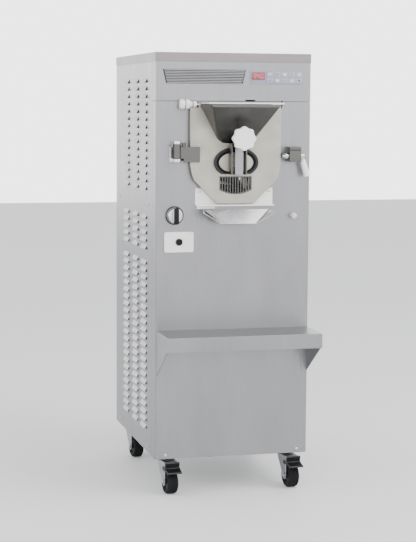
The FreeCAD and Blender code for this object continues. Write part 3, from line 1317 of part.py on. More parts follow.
def make_caster(label, x, y, braked):
    """One swivel caster: fork with its stem and axle, wheel and, in front, a brake pedal."""
    turn = Rotation(Vector(0, 0, 1), -number(size.caster_heading))
    axle_y = -size.caster_trail
    wheel_half = size.wheel_width / 2
    inner = wheel_half + size.fork_gap
    outer = inner + size.fork_sheet
    plate_top = base - size.fork_drop
    plate_low = plate_top - 4
    bearing_top = plate_top + 7
    crown = rod(label + "_crown", "z", 27.0, (plate_low, plate_top), 0, 0)
    bridge = block(label + "_bridge", (-outer, outer), (-46.0, 22.0), (plate_low, plate_top))
    raceway = cone(label + "_raceway", "z", (24.0, 17.0), (plate_top, bearing_top), 0, 0)
    stem = rod(label + "_stem", "z", size.stem_radius, (plate_top, base + 15), 0, 0)
    nut = rod(label + "_nut", "z", 12.0, (bearing_top, base - 1), 0, 0)
    profile = [(axle_y - 12, size.wheel_radius - 6), (axle_y - 5, size.wheel_radius - 13),
               (axle_y + 5, size.wheel_radius - 13), (axle_y + 13, size.wheel_radius - 4),
               (24.0, plate_low), (24.0, plate_top), (-50.0, plate_top), (-50.0, plate_low - 18)]
    legs = [pad(label + "_leg_left", "YZ_Plane", profile, size.fork_sheet, (-outer, 0, 0)),
            pad(label + "_leg_right", "YZ_Plane", profile, size.fork_sheet, (inner, 0, 0))]
    axle = rod(label + "_axle", "x", size.axle_radius, (-outer - 3, outer + 3), axle_y, size.wheel_radius)
    fork = fuse(label + "_fork_solid", crown, bridge, raceway, stem, nut, axle, *legs)
    if braked:
        hole = rod(label + "_pedal_hole", "x", 2.5 + size.running_gap, (-outer - 1, outer + 1),
                   pedal_pin_y(),
                   pedal_pin_z())
        fork = cut(label + "_fork", fork, hole)
    node(put(fork, x, y, 0, turn), label + "_fork")

    radius = size.wheel_radius
    hub_half = wheel_half + size.fork_gap - 0.3
    tread = 5.0
    bore = size.axle_radius + size.running_gap
    profile = [(bore, -hub_half), (9.0, -hub_half), (9.0, -wheel_half + 3), (radius - 10, -wheel_half + 3),
               (radius - 10, -wheel_half), (radius - tread, -wheel_half), (radius, tread - wheel_half),
               (radius, wheel_half - tread), (radius - tread, wheel_half), (radius - 10, wheel_half),
               (radius - 10, wheel_half - 3), (9.0, wheel_half - 3), (9.0, hub_half), (bore, hub_half)]
    wheel = revolve(label + "_wheel_body", profile, (0, axle_y, radius), ALONG_X)
    holder = group(label + "_wheel", wheel)
    node(put(holder, x, y, 0, turn), label + "_wheel")

    if braked:
        tread_half = size.pedal_width / 2
        slope = Rotation(Vector(1, 0, 0), 15.0)
        pin_y = pedal_pin_y()
        pin_z = pedal_pin_z()
        tongue = block(label + "_pedal_plate", (-tread_half, tread_half), (-size.pedal_length - 11, -11.0),
                       (1.0, 6.0))
        riser = block(label + "_pedal_riser", (-tread_half, tread_half), (-16.0, -10.0), (4.0, 25.0))
        lugs = [block(label + "_pedal_lug_left", (-outer - 4.3, -outer - 0.3), (-14.0, 4.0), (-4.0, 6.0)),
                block(label + "_pedal_lug_right", (outer + 0.3, outer + 4.3), (-14.0, 4.0), (-4.0, 6.0))]
        pin = rod(label + "_pedal_pin", "x", 2.5, (-outer - 4, outer + 4), 0, 0)
        pedal = put(fuse(label + "_pedal_solid", tongue, riser, pin, *lugs), 0, pin_y, pin_z, slope)
        holder = group(label + "_pedal", pedal)
        node(put(holder, x, y, 0, turn), label + "_pedal")


def pedal_pin_y():
    return -size.caster_trail - 6


def pedal_pin_z():
    return base - 32


def make_casters():
    names = ("front_left", "front_right", "rear_left", "rear_right")
    for name, (x, y) in zip(names, caster_places()):
        make_caster(name + "_caster", x, y, name.startswith("front"))


for make in (make_frame, make_top_cover, make_rear_panel, make_control_fascia, make_front_panel, make_screws,
             make_trim_strip, make_control_plate, make_electrical_box, make_barrel, make_beater, make_pulleys,
             make_belt, make_refrigeration, make_door, make_clamp, make_chutes, make_tap, make_switch,
             make_stud, make_shelf, make_casters):
    make()
louvred_side("left_side_panel", -1)
louvred_side("right_side_panel", 1)
doc.recompute()

for item in doc.Objects:
    faults = [state for state in item.State if state in ("Invalid", "Error")]
    if faults:
        raise RuntimeError("%s is %s" % (item.Label, ", ".join(faults)))
for item in nodes:
    if item.Shape.isNull() or not item.Shape.isValid() or not item.Shape.Solids:
        raise RuntimeError("%s has no valid solid" % item.Label)

os.makedirs("parts", exist_ok=True)
for item in nodes:
    item.Shape.exportStep("parts/%s.step" % item.Label)
print("wrote %d sub-parts" % len(nodes))
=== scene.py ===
import json
import math

import bmesh
import bpy
from mathutils import Matrix, Vector


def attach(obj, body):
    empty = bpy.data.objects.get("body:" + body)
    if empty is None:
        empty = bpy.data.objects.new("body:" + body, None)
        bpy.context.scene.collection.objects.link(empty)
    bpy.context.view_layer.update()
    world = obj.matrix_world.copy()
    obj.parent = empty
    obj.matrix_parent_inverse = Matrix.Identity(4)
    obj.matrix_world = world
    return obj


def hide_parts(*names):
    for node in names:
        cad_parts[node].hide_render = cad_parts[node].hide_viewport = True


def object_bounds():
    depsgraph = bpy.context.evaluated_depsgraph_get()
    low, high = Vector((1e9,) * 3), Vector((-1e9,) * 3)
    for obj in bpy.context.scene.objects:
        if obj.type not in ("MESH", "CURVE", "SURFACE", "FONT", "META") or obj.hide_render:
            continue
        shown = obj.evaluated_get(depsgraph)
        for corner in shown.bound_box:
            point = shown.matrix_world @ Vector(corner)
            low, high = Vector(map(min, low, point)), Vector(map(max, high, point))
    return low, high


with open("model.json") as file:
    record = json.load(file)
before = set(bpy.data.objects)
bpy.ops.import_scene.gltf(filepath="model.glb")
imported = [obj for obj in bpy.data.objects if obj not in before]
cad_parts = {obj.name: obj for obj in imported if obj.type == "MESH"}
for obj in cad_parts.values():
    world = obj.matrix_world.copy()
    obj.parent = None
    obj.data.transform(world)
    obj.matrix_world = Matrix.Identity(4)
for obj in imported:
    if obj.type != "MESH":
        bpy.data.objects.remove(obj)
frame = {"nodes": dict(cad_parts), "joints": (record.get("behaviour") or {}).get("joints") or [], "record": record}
cad_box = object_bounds()
nodes = frame["nodes"]
record = frame["record"]
joints = {joint["name"]: joint for joint in frame["joints"]}
body_of = {node: body for body, members in record["behaviour"]["bodies"].items() for node in members}
slot_of = {row["node"]: row["material_slot"] for row in record["subparts"]}
MM = 0.001
casters = ("front_left", "front_right", "rear_left", "rear_right")
UP = Vector((0, 0, 1))


# ---------------------------------------------------------------- materials

def new_material(name, color, metallic, roughness, **sockets):
    """A material with a Principled shader whose uniform numbers are set on its own sockets."""
    made = bpy.data.materials.new(name)
    made.use_nodes = True
    shader = made.node_tree.nodes["Principled BSDF"]
    shader.inputs["Base Color"].default_value = (*color, 1)
    shader.inputs["Metallic"].default_value = metallic
    shader.inputs["Roughness"].default_value = roughness
    for socket, value in sockets.items():
        shader.inputs[socket.replace("_", " ")].default_value = value
    return made, made.node_tree, shader


def grain(tree, frequency, detail=3.0):
    """Noise from 0 to 1 with a frequency of its own along each axis, in cycles per metre."""
    place = tree.nodes.new("ShaderNodeTexCoord")
    mapping = tree.nodes.new("ShaderNodeMapping")
    mapping.inputs["Scale"].default_value = frequency
    pattern = tree.nodes.new("ShaderNodeTexNoise")
    pattern.inputs["Scale"].default_value = 1.0
    pattern.inputs["Detail"].default_value = detail
    tree.links.new(place.outputs["Object"], mapping.inputs["Vector"])
    tree.links.new(mapping.outputs["Vector"], pattern.inputs["Vector"])
    return pattern.outputs["Fac"]


def spangle(tree, frequency):
    """Crystal cells from 0 to 1, as on zinc plating or a blasted surface."""
    place = tree.nodes.new("ShaderNodeTexCoord")
    cells = tree.nodes.new("ShaderNodeTexVoronoi")
    cells.inputs["Scale"].default_value = frequency
    value = tree.nodes.new("ShaderNodeSeparateColor")
    tree.links.new(place.outputs["Object"], cells.inputs["Vector"])
    tree.links.new(cells.outputs["Color"], value.inputs["Color"])
    return value.outputs["Red"]


def edge_wear(tree):
    """1 on the rounded edges of a piece, 0 elsewhere."""
    attribute = tree.nodes.new("ShaderNodeAttribute")
    attribute.attribute_name = "edge_wear"
    return attribute.outputs["Fac"]


def ranged(tree, value, low, high, from_low=0.3, from_high=0.7):
    """A value from one range carried to another."""
    node = tree.nodes.new("ShaderNodeMapRange")
    node.inputs["From Min"].default_value = from_low
    node.inputs["From Max"].default_value = from_high
    node.inputs["To Min"].default_value = low
    node.inputs["To Max"].default_value = high
    tree.links.new(value, node.inputs["Value"])
    return node.outputs["Result"]


def added(tree, first, second, operation="ADD"):
    node = tree.nodes.new("ShaderNodeMath")
    node.operation = operation
    node.use_clamp = True
    tree.links.new(first, node.inputs[0])
    tree.links.new(second, node.inputs[1])
    return node.outputs["Value"]


def blended(tree, factor, first, second):
    """One colour turning into another. A colour is a triple or another node's output."""
    node = tree.nodes.new("ShaderNodeMix")
    node.data_type = "RGBA"
    tree.links.new(factor, node.inputs["Factor"])
    for socket, color in (("A", first), ("B", second)):
        slots = [entry for entry in node.inputs if entry.name == socket and entry.type == "RGBA"]
        if isinstance(color, tuple):
            slots[0].default_value = (*color, 1)
        else:
            tree.links.new(color, slots[0])
    return next(entry for entry in node.outputs if entry.type == "RGBA")


def bumped(tree, shader, height, strength, distance):
    node = tree.nodes.new("ShaderNodeBump")
    node.inputs["Strength"].default_value = strength
    node.inputs["Distance"].default_value = distance
    tree.links.new(height, node.inputs["Height"])
    tree.links.new(node.outputs["Normal"], shader.inputs["Normal"])


def shade(color, factor):
    return tuple(min(1.0, channel * factor) for channel in color)


def steel(name, color, roughness, along="z", brush=0.06, cloud=0.05, relief=0.12):
    """Satin or polished steel: fine brushing along one axis, cloudy handling marks, brighter edges."""
    made, tree, shader = new_material(name, color, 1.0, roughness)
    across = {"x": (9, 900, 900), "y": (900, 9, 900), "z": (900, 900, 9)}[along]
    fine = grain(tree, across, 2.0)
    marks = grain(tree, (14, 14, 5), 4.0)
    soft = grain(tree, (3.1, 3.1, 1.7), 2.0)
    wear = edge_wear(tree)
    tone = blended(tree, ranged(tree, marks, 0, 1), shade(color, 0.95), shade(color, 1.04))
    tone = blended(tree, ranged(tree, fine, 0, 0.35), tone, shade(color, 0.86))
    tone = blended(tree, ranged(tree, wear, 0, 0.7, 0, 1), tone, shade(color, 1.16))
    tree.links.new(tone, shader.inputs["Base Color"])
    rough = ranged(tree, fine, roughness - brush, roughness + brush)
    rough = added(tree, rough, ranged(tree, marks, 0, cloud))
    rough = added(tree, rough, ranged(tree, soft, 0, cloud))
    tree.links.new(rough, shader.inputs["Roughness"])
    bumped(tree, shader, fine, relief, 0.0002)
    return made


def blasted(name, color, roughness, frequency=1500.0, relief=0.25, metallic=1.0):
    """Bead-blasted, cast or plated metal: a fine even speckle with larger stains."""
    made, tree, shader = new_material(name, color, metallic, roughness)
    speck = spangle(tree, frequency)
    stain = grain(tree, (22, 22, 22), 4.0)
    wear = edge_wear(tree)
    tone = blended(tree, speck, shade(color, 0.93), shade(color, 1.05))
    tone = blended(tree, ranged(tree, stain, 0, 0.5), tone, shade(color, 0.86))
    tone = blended(tree, ranged(tree, wear, 0, 0.8, 0, 1), tone, shade(color, 1.2))
    tree.links.new(tone, shader.inputs["Base Color"])
    rough = ranged(tree, stain, roughness - 0.06, roughness + 0.1)
    tree.links.new(rough, shader.inputs["Roughness"])
    bumped(tree, shader, speck, relief, 0.0001)
    return made


def moulded(name, color, roughness, frequency=1100.0, relief=0.15, coat=0.0, dirt=0.25, gleam=0.5):
    """Moulded plastic, rubber or enamel: orange-peel relief, faint dirt, rubbed edges."""
    made, tree, shader = new_material(name, color, 0.0, roughness, Coat_Weight=coat, Coat_Roughness=0.12,
                                      Specular_IOR_Level=gleam)
    peel = grain(tree, (frequency, frequency, frequency), 3.0)
    dust = grain(tree, (35, 35, 35), 5.0)
    wear = edge_wear(tree)
    tone = blended(tree, ranged(tree, dust, 0, dirt), color, shade(color, 0.7))
    lighter = tuple(channel + (0.75 - channel) * 0.18 for channel in color)
    tone = blended(tree, ranged(tree, wear, 0, 0.6, 0, 1), tone, lighter)
    tree.links.new(tone, shader.inputs["Base Color"])
    rough = ranged(tree, dust, roughness - 0.05, roughness + 0.12)
    rough = added(tree, rough, ranged(tree, peel, 0, 0.05))
    tree.links.new(rough, shader.inputs["Roughness"])
    bumped(tree, shader, peel, relief, 0.0002)
    return made


def lit(name, color, strength):
    """A display's lit segments, with a slightly uneven glow."""
    made, tree, shader = new_material(name, color, 0.0, 0.4)
    uneven = grain(tree, (260, 260, 260), 2.0)
    tone = blended(tree, ranged(tree, uneven, 0, 0.6), color, shade(color, 0.7))
    tree.links.new(tone, shader.inputs["Emission Color"])
    tree.links.new(tone, shader.inputs["Base Color"])
    shader.inputs["Emission Strength"].default_value = strength
    return made


finish = {
    "stainless_panel": steel("satin_stainless", (0.27, 0.27, 0.28), 0.30),
    "cover_steel": steel("cover_stainless", (0.24, 0.215, 0.215), 0.36, along="x"),
    "frame_steel": moulded("frame_paint", (0.20, 0.205, 0.21), 0.45, coat=0.1),
    "bright_steel": steel("polished_stainless", (0.58, 0.58, 0.59), 0.10, brush=0.03, relief=0.04),
    "dark_steel": steel("machined_steel", (0.11, 0.108, 0.102), 0.28, along="x"),
    "door_steel": blasted("blasted_door", (0.40, 0.385, 0.335), 0.48),
    "white_plastic": moulded("white_plastic", (0.82, 0.81, 0.79), 0.32, coat=0.2, dirt=0.12),
    "black_plastic": moulded("black_plastic", (0.008, 0.008, 0.009), 0.42, dirt=0.3, gleam=0.14),
    "grey_plastic": moulded("membrane_plastic", (0.26, 0.25, 0.32), 0.38, dirt=0.1),
    "black_rubber": moulded("black_rubber", (0.007, 0.007, 0.007), 0.62, frequency=700.0, gleam=0.1),
    "tread": moulded("tyre_rubber", (0.009, 0.009, 0.010), 0.66, frequency=500.0, relief=0.4, dirt=0.4,
                     gleam=0.12),
    "foam": moulded("rigid_foam", (0.66, 0.52, 0.26), 0.85, frequency=260.0, relief=0.9, dirt=0.5),
    "motor_paint": moulded("motor_enamel", (0.05, 0.08, 0.12), 0.38, coat=0.4),
    "compressor_paint": moulded("compressor_enamel", (0.012, 0.012, 0.013), 0.3, coat=0.5),
    "fin_aluminium": steel("fin_aluminium", (0.70, 0.71, 0.72), 0.34, along="z"),
    "copper": steel("copper_tube", (0.66, 0.30, 0.18), 0.28, cloud=0.14),
    "zinc": blasted("zinc_plating", (0.36, 0.37, 0.39), 0.32, frequency=260.0, relief=0.08),
    "cast_steel": blasted("cast_iron", (0.20, 0.20, 0.205), 0.5, frequency=900.0, relief=0.5),
    "trim_ribs": steel("dark_trim", (0.035, 0.035, 0.037), 0.34, along="x"),
}
display_glass = moulded("display_glass", (0.20, 0.022, 0.035), 0.3, relief=0.02, coat=1.0, dirt=0.1)
display_glow = lit("display_segments", (0.75, 0.10, 0.11), 0.8)
key_face = moulded("key_face", (0.33, 0.32, 0.40), 0.34, dirt=0.1)
hub_plastic = moulded("hub_plastic", (0.02, 0.02, 0.022), 0.4, dirt=0.35, gleam=0.15)
key_print = moulded("key_print", (0.80, 0.80, 0.84), 0.4, dirt=0.1)
key_mark = moulded("key_mark", (0.10, 0.10, 0.14), 0.5, dirt=0.1)
floor_finish = moulded("pale_floor", (0.93, 0.93, 0.93), 0.6, frequency=60.0, relief=0.02, dirt=0.02)


# ---------------------------------------------------------------- mesh helpers

def place_piece(name, mesh_data, material, body, stands_for=()):
    """Turns a bmesh into a piece that rides on a body."""
    mesh = bpy.data.meshes.new(name)
    bmesh.ops.recalc_face_normals(mesh_data, faces=mesh_data.faces)
    mesh_data.to_mesh(mesh)
    mesh_data.free()
    mesh.shade_smooth()
    mesh.set_sharp_from_angle(angle=math.radians(35.0))
    mesh.materials.append(material)
    piece = bpy.data.objects.new(name, mesh)
    bpy.context.scene.collection.objects.link(piece)
    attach(piece, body)
    if stands_for:
        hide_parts(*stands_for)
    return piece


def bevel(mesh_data, edges, width, segments=2):
    """Rounds the edges and marks the new faces as worn."""
    marks = mesh_data.faces.layers.float
    layer = marks.get("edge_wear") or marks.new("edge_wear")
    made = bmesh.ops.bevel(mesh_data, geom=edges, offset=width, segments=segments, profile=0.5,
                           affect="EDGES", clamp_overlap=False, offset_type="OFFSET")
    for face in made["faces"]:
        face[layer] = 1.0


def sharp_edges(mesh_data):
    limit = math.radians(32.0)
    return [edge for edge in mesh_data.edges if edge.is_manifold and edge.calc_face_angle(0.0) > limit]


def copy_of(node):
    """The CAD node's own mesh, welded, with its flat faces whole again."""
    mesh_data = bmesh.new()
    mesh_data.from_mesh(nodes[node].data)
    bmesh.ops.remove_doubles(mesh_data, verts=mesh_data.verts, dist=2e-6)
    bmesh.ops.dissolve_limit(mesh_data, angle_limit=math.radians(0.5), verts=mesh_data.verts,
                             edges=mesh_data.edges)
    return mesh_data


def rounded(node, width, segments=2, material=None):
    """The CAD node with its sharp edges rounded, as a piece that stands for it."""
    mesh_data = copy_of(node)
    bevel(mesh_data, sharp_edges(mesh_data), width * MM, segments)
    piece = place_piece(node + "_finished", mesh_data, material or finish[slot_of[node]],
                        body_of[node], (node,))
    weighted = piece.modifiers.new("flat_faces_stay_flat", "WEIGHTED_NORMAL")
    weighted.keep_sharp = True
    return piece


def turn_to(axis):
    return UP.rotation_difference(Vector(axis)).to_matrix()


def lathe(mesh_data, profile, centre, axis, segments=48):
    """Adds a turned solid. Profile points are (radius, height), with a third number for a polygon."""
    turn = turn_to(axis)
    rings = []
    for point in profile:
        radius, height = point[0], point[1]
        if radius == 0:
            rings.append([mesh_data.verts.new(Vector(centre) + turn @ Vector((0, 0, height)))])
            continue
        ring = []
        for index in range(segments):
            angle = 2 * math.pi * index / segments
            reach = radius
            if len(point) > 2:
                step = 2 * math.pi / point[2]
                reach = radius * math.cos(step / 2) / math.cos(angle % step - step / 2)
            spot = Vector((reach * math.cos(angle), reach * math.sin(angle), height))
            ring.append(mesh_data.verts.new(Vector(centre) + turn @ spot))
        rings.append(ring)
    for first, second in zip(rings, rings[1:]):
        for index in range(segments):
            after = (index + 1) % segments
            if len(first) == 1:
                mesh_data.faces.new((first[0], second[index], second[after]))
            elif len(second) == 1:
                mesh_data.faces.new((first[index], first[after], second[0]))
            else:
                mesh_data.faces.new((first[index], first[after], second[after], second[index]))
    for ring in (rings[0], rings[-1]):
        if len(ring) > 1:
            mesh_data.faces.new(ring)


def pillow(mesh_data, centre, size, corner, edge=0.3 * MM, normal=(0, -1, 0), steps=5):
    """Adds a rounded plate that stands on a surface: size is across, upright and thickness."""
    turn = Matrix((Vector((1, 0, 0)), Vector((0, 0, 1)), Vector((0, -1, 0)))).transposed()
    if tuple(normal) != (0, -1, 0):
        turn = turn_to(normal)
    wide, tall, thick = size
    rings = []
    for inset, height in ((0, 0), (0, thick - edge), (edge * 0.3, thick - edge * 0.3), (edge, thick)):
        ring = []
        radius = max(corner - inset, 1e-5)
        for quarter, (sx, sy) in enumerate(((1, 1), (-1, 1), (-1, -1), (1, -1))):
            for step in range(steps + 1):
                angle = math.pi / 2 * (quarter + step / steps)
                spot = Vector((sx * (wide / 2 - corner) + radius * math.cos(angle),
                               sy * (tall / 2 - corner) + radius * math.sin(angle), height))
                ring.append(mesh_data.verts.new(Vector(centre) + turn @ spot))
        rings.append(ring)
    count = len(rings[0])
    for first, second in zip(rings, rings[1:]):
        for index in range(count):
            after = (index + 1) % count
            mesh_data.faces.new((first[index], first[after], second[after], second[index]))
    mesh_data.faces.new(rings[0])
    mesh_data.faces.new(rings[-1])


def islands(node):
    """The lowest and highest corner of each separate solid in a node."""
    mesh_data = bmesh.new()
    mesh_data.from_mesh(nodes[node].data)
    bmesh.ops.remove_doubles(mesh_data, verts=mesh_data.verts, dist=2e-6)
    seen = set()
    found = []
    for start in mesh_data.verts:
        if start in seen:
            continue
        group, queue = [], [start]
        seen.add(start)
        while queue:
            vertex = queue.pop()
            group.append(vertex.co.copy())
            for edge in vertex.link_edges:
                other = edge.other_vert(vertex)
                if other not in seen:
                    seen.add(other)
                    queue.append(other)
        low = Vector([min(spot[k] for spot in group) for k in range(3)])
        high = Vector([max(spot[k] for spot in group) for k in range(3)])
        found.append((low, high))
    mesh_data.free()
    return sorted(found, key=lambda pair: tuple(round(value, 4) for value in pair[0]))


# ---------------------------------------------------------------- pieces on the machine's own surfaces

def mm(*values):
    return tuple(value * MM for value in values)


def bounds_of(node):
    corners = [nodes[node].matrix_world @ vertex.co for vertex in nodes[node].data.vertices]
    low = Vector([min(spot[k] for spot in corners) for k in range(3)])
    high = Vector([max(spot[k] for spot in corners) for k in range(3)])
    return low, high


def on_node(name, mesh_data, material, node, stands_for=()):
    """A piece on the same body as a CAD node."""
    return place_piece(name, mesh_data, material, body_of[node], stands_for)


def make_rounded_parts():
    """Every folded, cast or moulded part with its edges broken, as they are on the real thing."""
    widths = {
        "top_cover": 0.5, "control_fascia": 0.7, "front_panel": 0.7, "rear_panel": 0.6,
        "door_plate": 1.1, "gate_guides": 0.6, "gate_knob": 2.6, "hinge_base": 0.8, "hinge_leaf": 0.9,
        "clamp_bracket": 1.2, "clamp_lever": 0.9, "chute_plate": 0.7, "discharge_chute": 0.4,
        "shelf": 0.8, "shelf_brackets": 0.5, "tap_flange": 0.8, "rest_stud": 1.0,
        "hopper_lid": 0.8, "feed_hopper": 0.5, "control_plate": 0.5,
        "compressor": 2.0, "beater_motor": 1.5, "driven_pulley": 0.8, "motor_pulley": 0.8,
        "electrical_box": 0.8, "bearing_housing": 1.0,
    }
    for node, width in widths.items():
        rounded(node, width)
    for corner in casters:
        rounded(corner + "_caster_fork", 0.9)
    rounded("tap_handle", 2.4, segments=4)
    rounded("clamp_grip", 3.0, segments=4)
    rounded("switch_plate", 1.6, segments=3)
    rounded("gate_plate", 0.9, material=finish["trim_ribs"])
    rounded("gate_bar", 0.8, material=finish["stainless_panel"])
    rounded("switch_button", 1.0, material=finish["black_plastic"])
    rounded("outlet_grille", 0.5, material=finish["dark_steel"])
    for side in casters[:2]:
        rounded(side + "_caster_pedal", 1.2, material=finish["black_plastic"])


def make_trim():
    """Dark strip on the fascia with fine ribs along it."""
    low, high = bounds_of("trim_strip")
    mesh_data = copy_of("trim_strip")
    on_node("trim_backing", mesh_data, finish["trim_ribs"], "trim_strip", ("trim_strip",))
    ribs = bmesh.new()
    count = 9
    pitch = (high.z - low.z) / count
    slope = 10.0 * MM
    for index in range(count):
        middle = low.z + pitch * (index + 0.5)
        share = (middle - low.z) / (high.z - low.z)
        inset = slope * (1 - share) + 2.5 * MM
        wide = (high.x - low.x) - 2 * inset
        root = (low.x + inset + wide / 2, low.y + 0.1 * MM, middle)
        pillow(ribs, root, (wide, pitch * 0.55, 0.9 * MM), pitch * 0.2, 0.35 * MM, steps=2)
    on_node("trim_ribs", ribs, finish["stainless_panel"], "trim_strip")


digit_bars = {"0": "abcdef", "2": "abdeg", "4": "bcfg"}


def add_segments(mesh_data, digit, left, base, y, width, height):
    """The lit bars of one seven-segment digit."""
    thick = 1.5 * MM
    half = height / 2
    places = {"a": (0.5, 1.0, 0), "d": (0.5, 0.0, 0), "g": (0.5, 0.5, 0),
              "b": (1.0, 0.75, 1), "c": (1.0, 0.25, 1), "e": (0.0, 0.25, 1), "f": (0.0, 0.75, 1)}
    for bar in digit_bars[digit]:
        across, up, upright = places[bar]
        size = (thick, half - thick) if upright else (width - thick, thick)
        pillow(mesh_data, (left + across * width, y, base + up * height), (*size, 0.5 * MM),
               thick * 0.3, 0.15 * MM, steps=2)


def make_display():
    """Dull red window with three digits, and a membrane keypad with plain marks beside it."""
    low, high = bounds_of("control_plate")
    face = low.y
    window = bmesh.new()
    centre_z = high.z - 17.0 * MM
    pillow(window, (low.x + 27.0 * MM, face + 0.2 * MM, centre_z), (*mm(43, 23), 1.6 * MM), 2.0 * MM,
           0.5 * MM)
    on_node("display_window", window, display_glass, "control_plate")
    digits = bmesh.new()
    for index, digit in enumerate("240"):
        add_segments(digits, digit, low.x + (13.0 + 10.5 * index) * MM, centre_z - 6.5 * MM,
                     face - 1.25 * MM, 6.5 * MM, 13.0 * MM)
    on_node("display_digits", digits, display_glow, "control_plate")
    pad = bmesh.new()
    left, right = low.x + 52.0 * MM, high.x - 1.0 * MM
    pillow(pad, ((left + right) / 2, face + 0.1 * MM, (low.z + high.z) / 2),
           (right - left, high.z - low.z - 3.0 * MM, 0.8 * MM), 2.5 * MM, 0.25 * MM)
    on_node("membrane_keypad", pad, finish["grey_plastic"], "control_plate")
    keys, pale, dark = bmesh.new(), bmesh.new(), bmesh.new()
    columns = 5
    pitch = (right - left) / columns
    for column in range(columns):
        x = left + pitch * (column + 0.5)
        for row in range(2):
            z = low.z + (11.5 + 19.0 * row) * MM
            pillow(keys, (x, face - 0.6 * MM, z), (*mm(19, 14), 0.5 * MM), 3.0 * MM, 0.25 * MM)
            add_mark(pale if (row + column) % 2 else dark, column + 2 * row, x, face - 1.0 * MM, z)
    on_node("membrane_keys", keys, key_face, "control_plate")
    on_node("key_marks_pale", pale, key_print, "control_plate")
    on_node("key_marks_dark", dark, key_mark, "control_plate")


def add_mark(mesh_data, kind, x, y, z):
    """One plain mark on a key: leaning strokes, a ring or an arrowhead."""
    if kind % 3 == 0:
        for shift in (-3.0, 0.0, 3.0):
            add_stroke(mesh_data, x + (shift - 2.2) * MM, z - 3.5 * MM, x + (shift + 2.2) * MM,
                       z + 3.5 * MM, y)
    elif kind % 3 == 1:
        lathe(mesh_data, [(3.4 * MM, 0), (3.4 * MM, 0.35 * MM), (2.6 * MM, 0.45 * MM)], (x, y, z),
              (0, -1, 0), 24)
    else:
        add_stroke(mesh_data, x - 4.0 * MM, z - 3.0 * MM, x, z + 3.0 * MM, y)
        add_stroke(mesh_data, x + 0.3 * MM, z + 3.0 * MM, x + 4.3 * MM, z - 3.0 * MM, y)


def add_stroke(mesh_data, x0, z0, x1, z1, y, width=1.1 * MM, thick=0.4 * MM):
    """A straight printed stroke between two places on the keypad."""
    along = Vector((x1 - x0, 0, z1 - z0)).normalized()
    side = Vector((-along.z, 0, along.x)) * width / 2
    corners = [Vector((x0, y, z0)) - side, Vector((x1, y, z1)) - side,
               Vector((x1, y, z1)) + side, Vector((x0, y, z0)) + side]
    back = [mesh_data.verts.new(corner) for corner in corners]
    front = [mesh_data.verts.new(corner + Vector((0, -thick, 0))) for corner in corners]
    mesh_data.faces.new(back)
    mesh_data.faces.new(front)
    for index in range(4):
        after = (index + 1) % 4
        mesh_data.faces.new((back[index], back[after], front[after], front[index]))


def make_screw_heads():
    """Domed screw heads with a hexagon socket in the place of each plain one."""
    heads = bmesh.new()
    for low, high in islands("panel_screws"):
        size = high - low
        centre = (low + high) / 2
        thin = min(range(3), key=lambda k: size[k])
        axis = [0, 0, 0]
        axis[thin] = -1 if centre[thin] < 0 else 1
        radius = max(size) / 2
        tall = size[thin]
        seat = centre.copy()
        seat[thin] = (high if axis[thin] < 0 else low)[thin]
        lathe(heads, [(radius * 0.98, 0), (radius, tall * 0.35), (radius * 0.86, tall * 0.8),
                      (radius * 0.60, tall), (radius * 0.46, tall, 6), (radius * 0.44, tall * 0.45, 6),
                      (0, tall * 0.4)], seat, axis, 36)
    on_node("screw_heads", heads, finish[slot_of["panel_screws"]], "panel_screws", ("panel_screws",))


def make_gate_face():
    """The pale dished face inside the gate's dark rim."""
    low, high = bounds_of("gate_seal")
    inner = bmesh.new()
    inset = 7.4 * MM
    half_wide = (high.x - low.x) / 2 - inset
    steps = 56
    half_tall = half_wide * 0.62
    middle_z = high.z - inset - half_tall
    rings = []
    for reach, height in ((1.0, 0.0), (0.985, 0.5 * MM), (0.9, 0.75 * MM)):
        ring = []
        for index in range(steps):
            angle = 2 * math.pi * index / steps
            spot = Vector((half_wide * reach * math.cos(angle), high.y - height,
                           middle_z + half_tall * reach * math.sin(angle)))
            spot.z = max(spot.z, low.z + 1.0 * MM)
            ring.append(inner.verts.new(spot))
        rings.append(ring)
    for first, second in zip(rings, rings[1:]):
        for index in range(steps):
            after = (index + 1) % steps
            inner.faces.new((first[index], first[after], second[after], second[index]))
    inner.faces.new(rings[0])
    inner.faces.new(rings[-1])
    on_node("gate_face", inner, finish["door_steel"], "gate_plate")


lid_knob_radius = 15.5 * MM


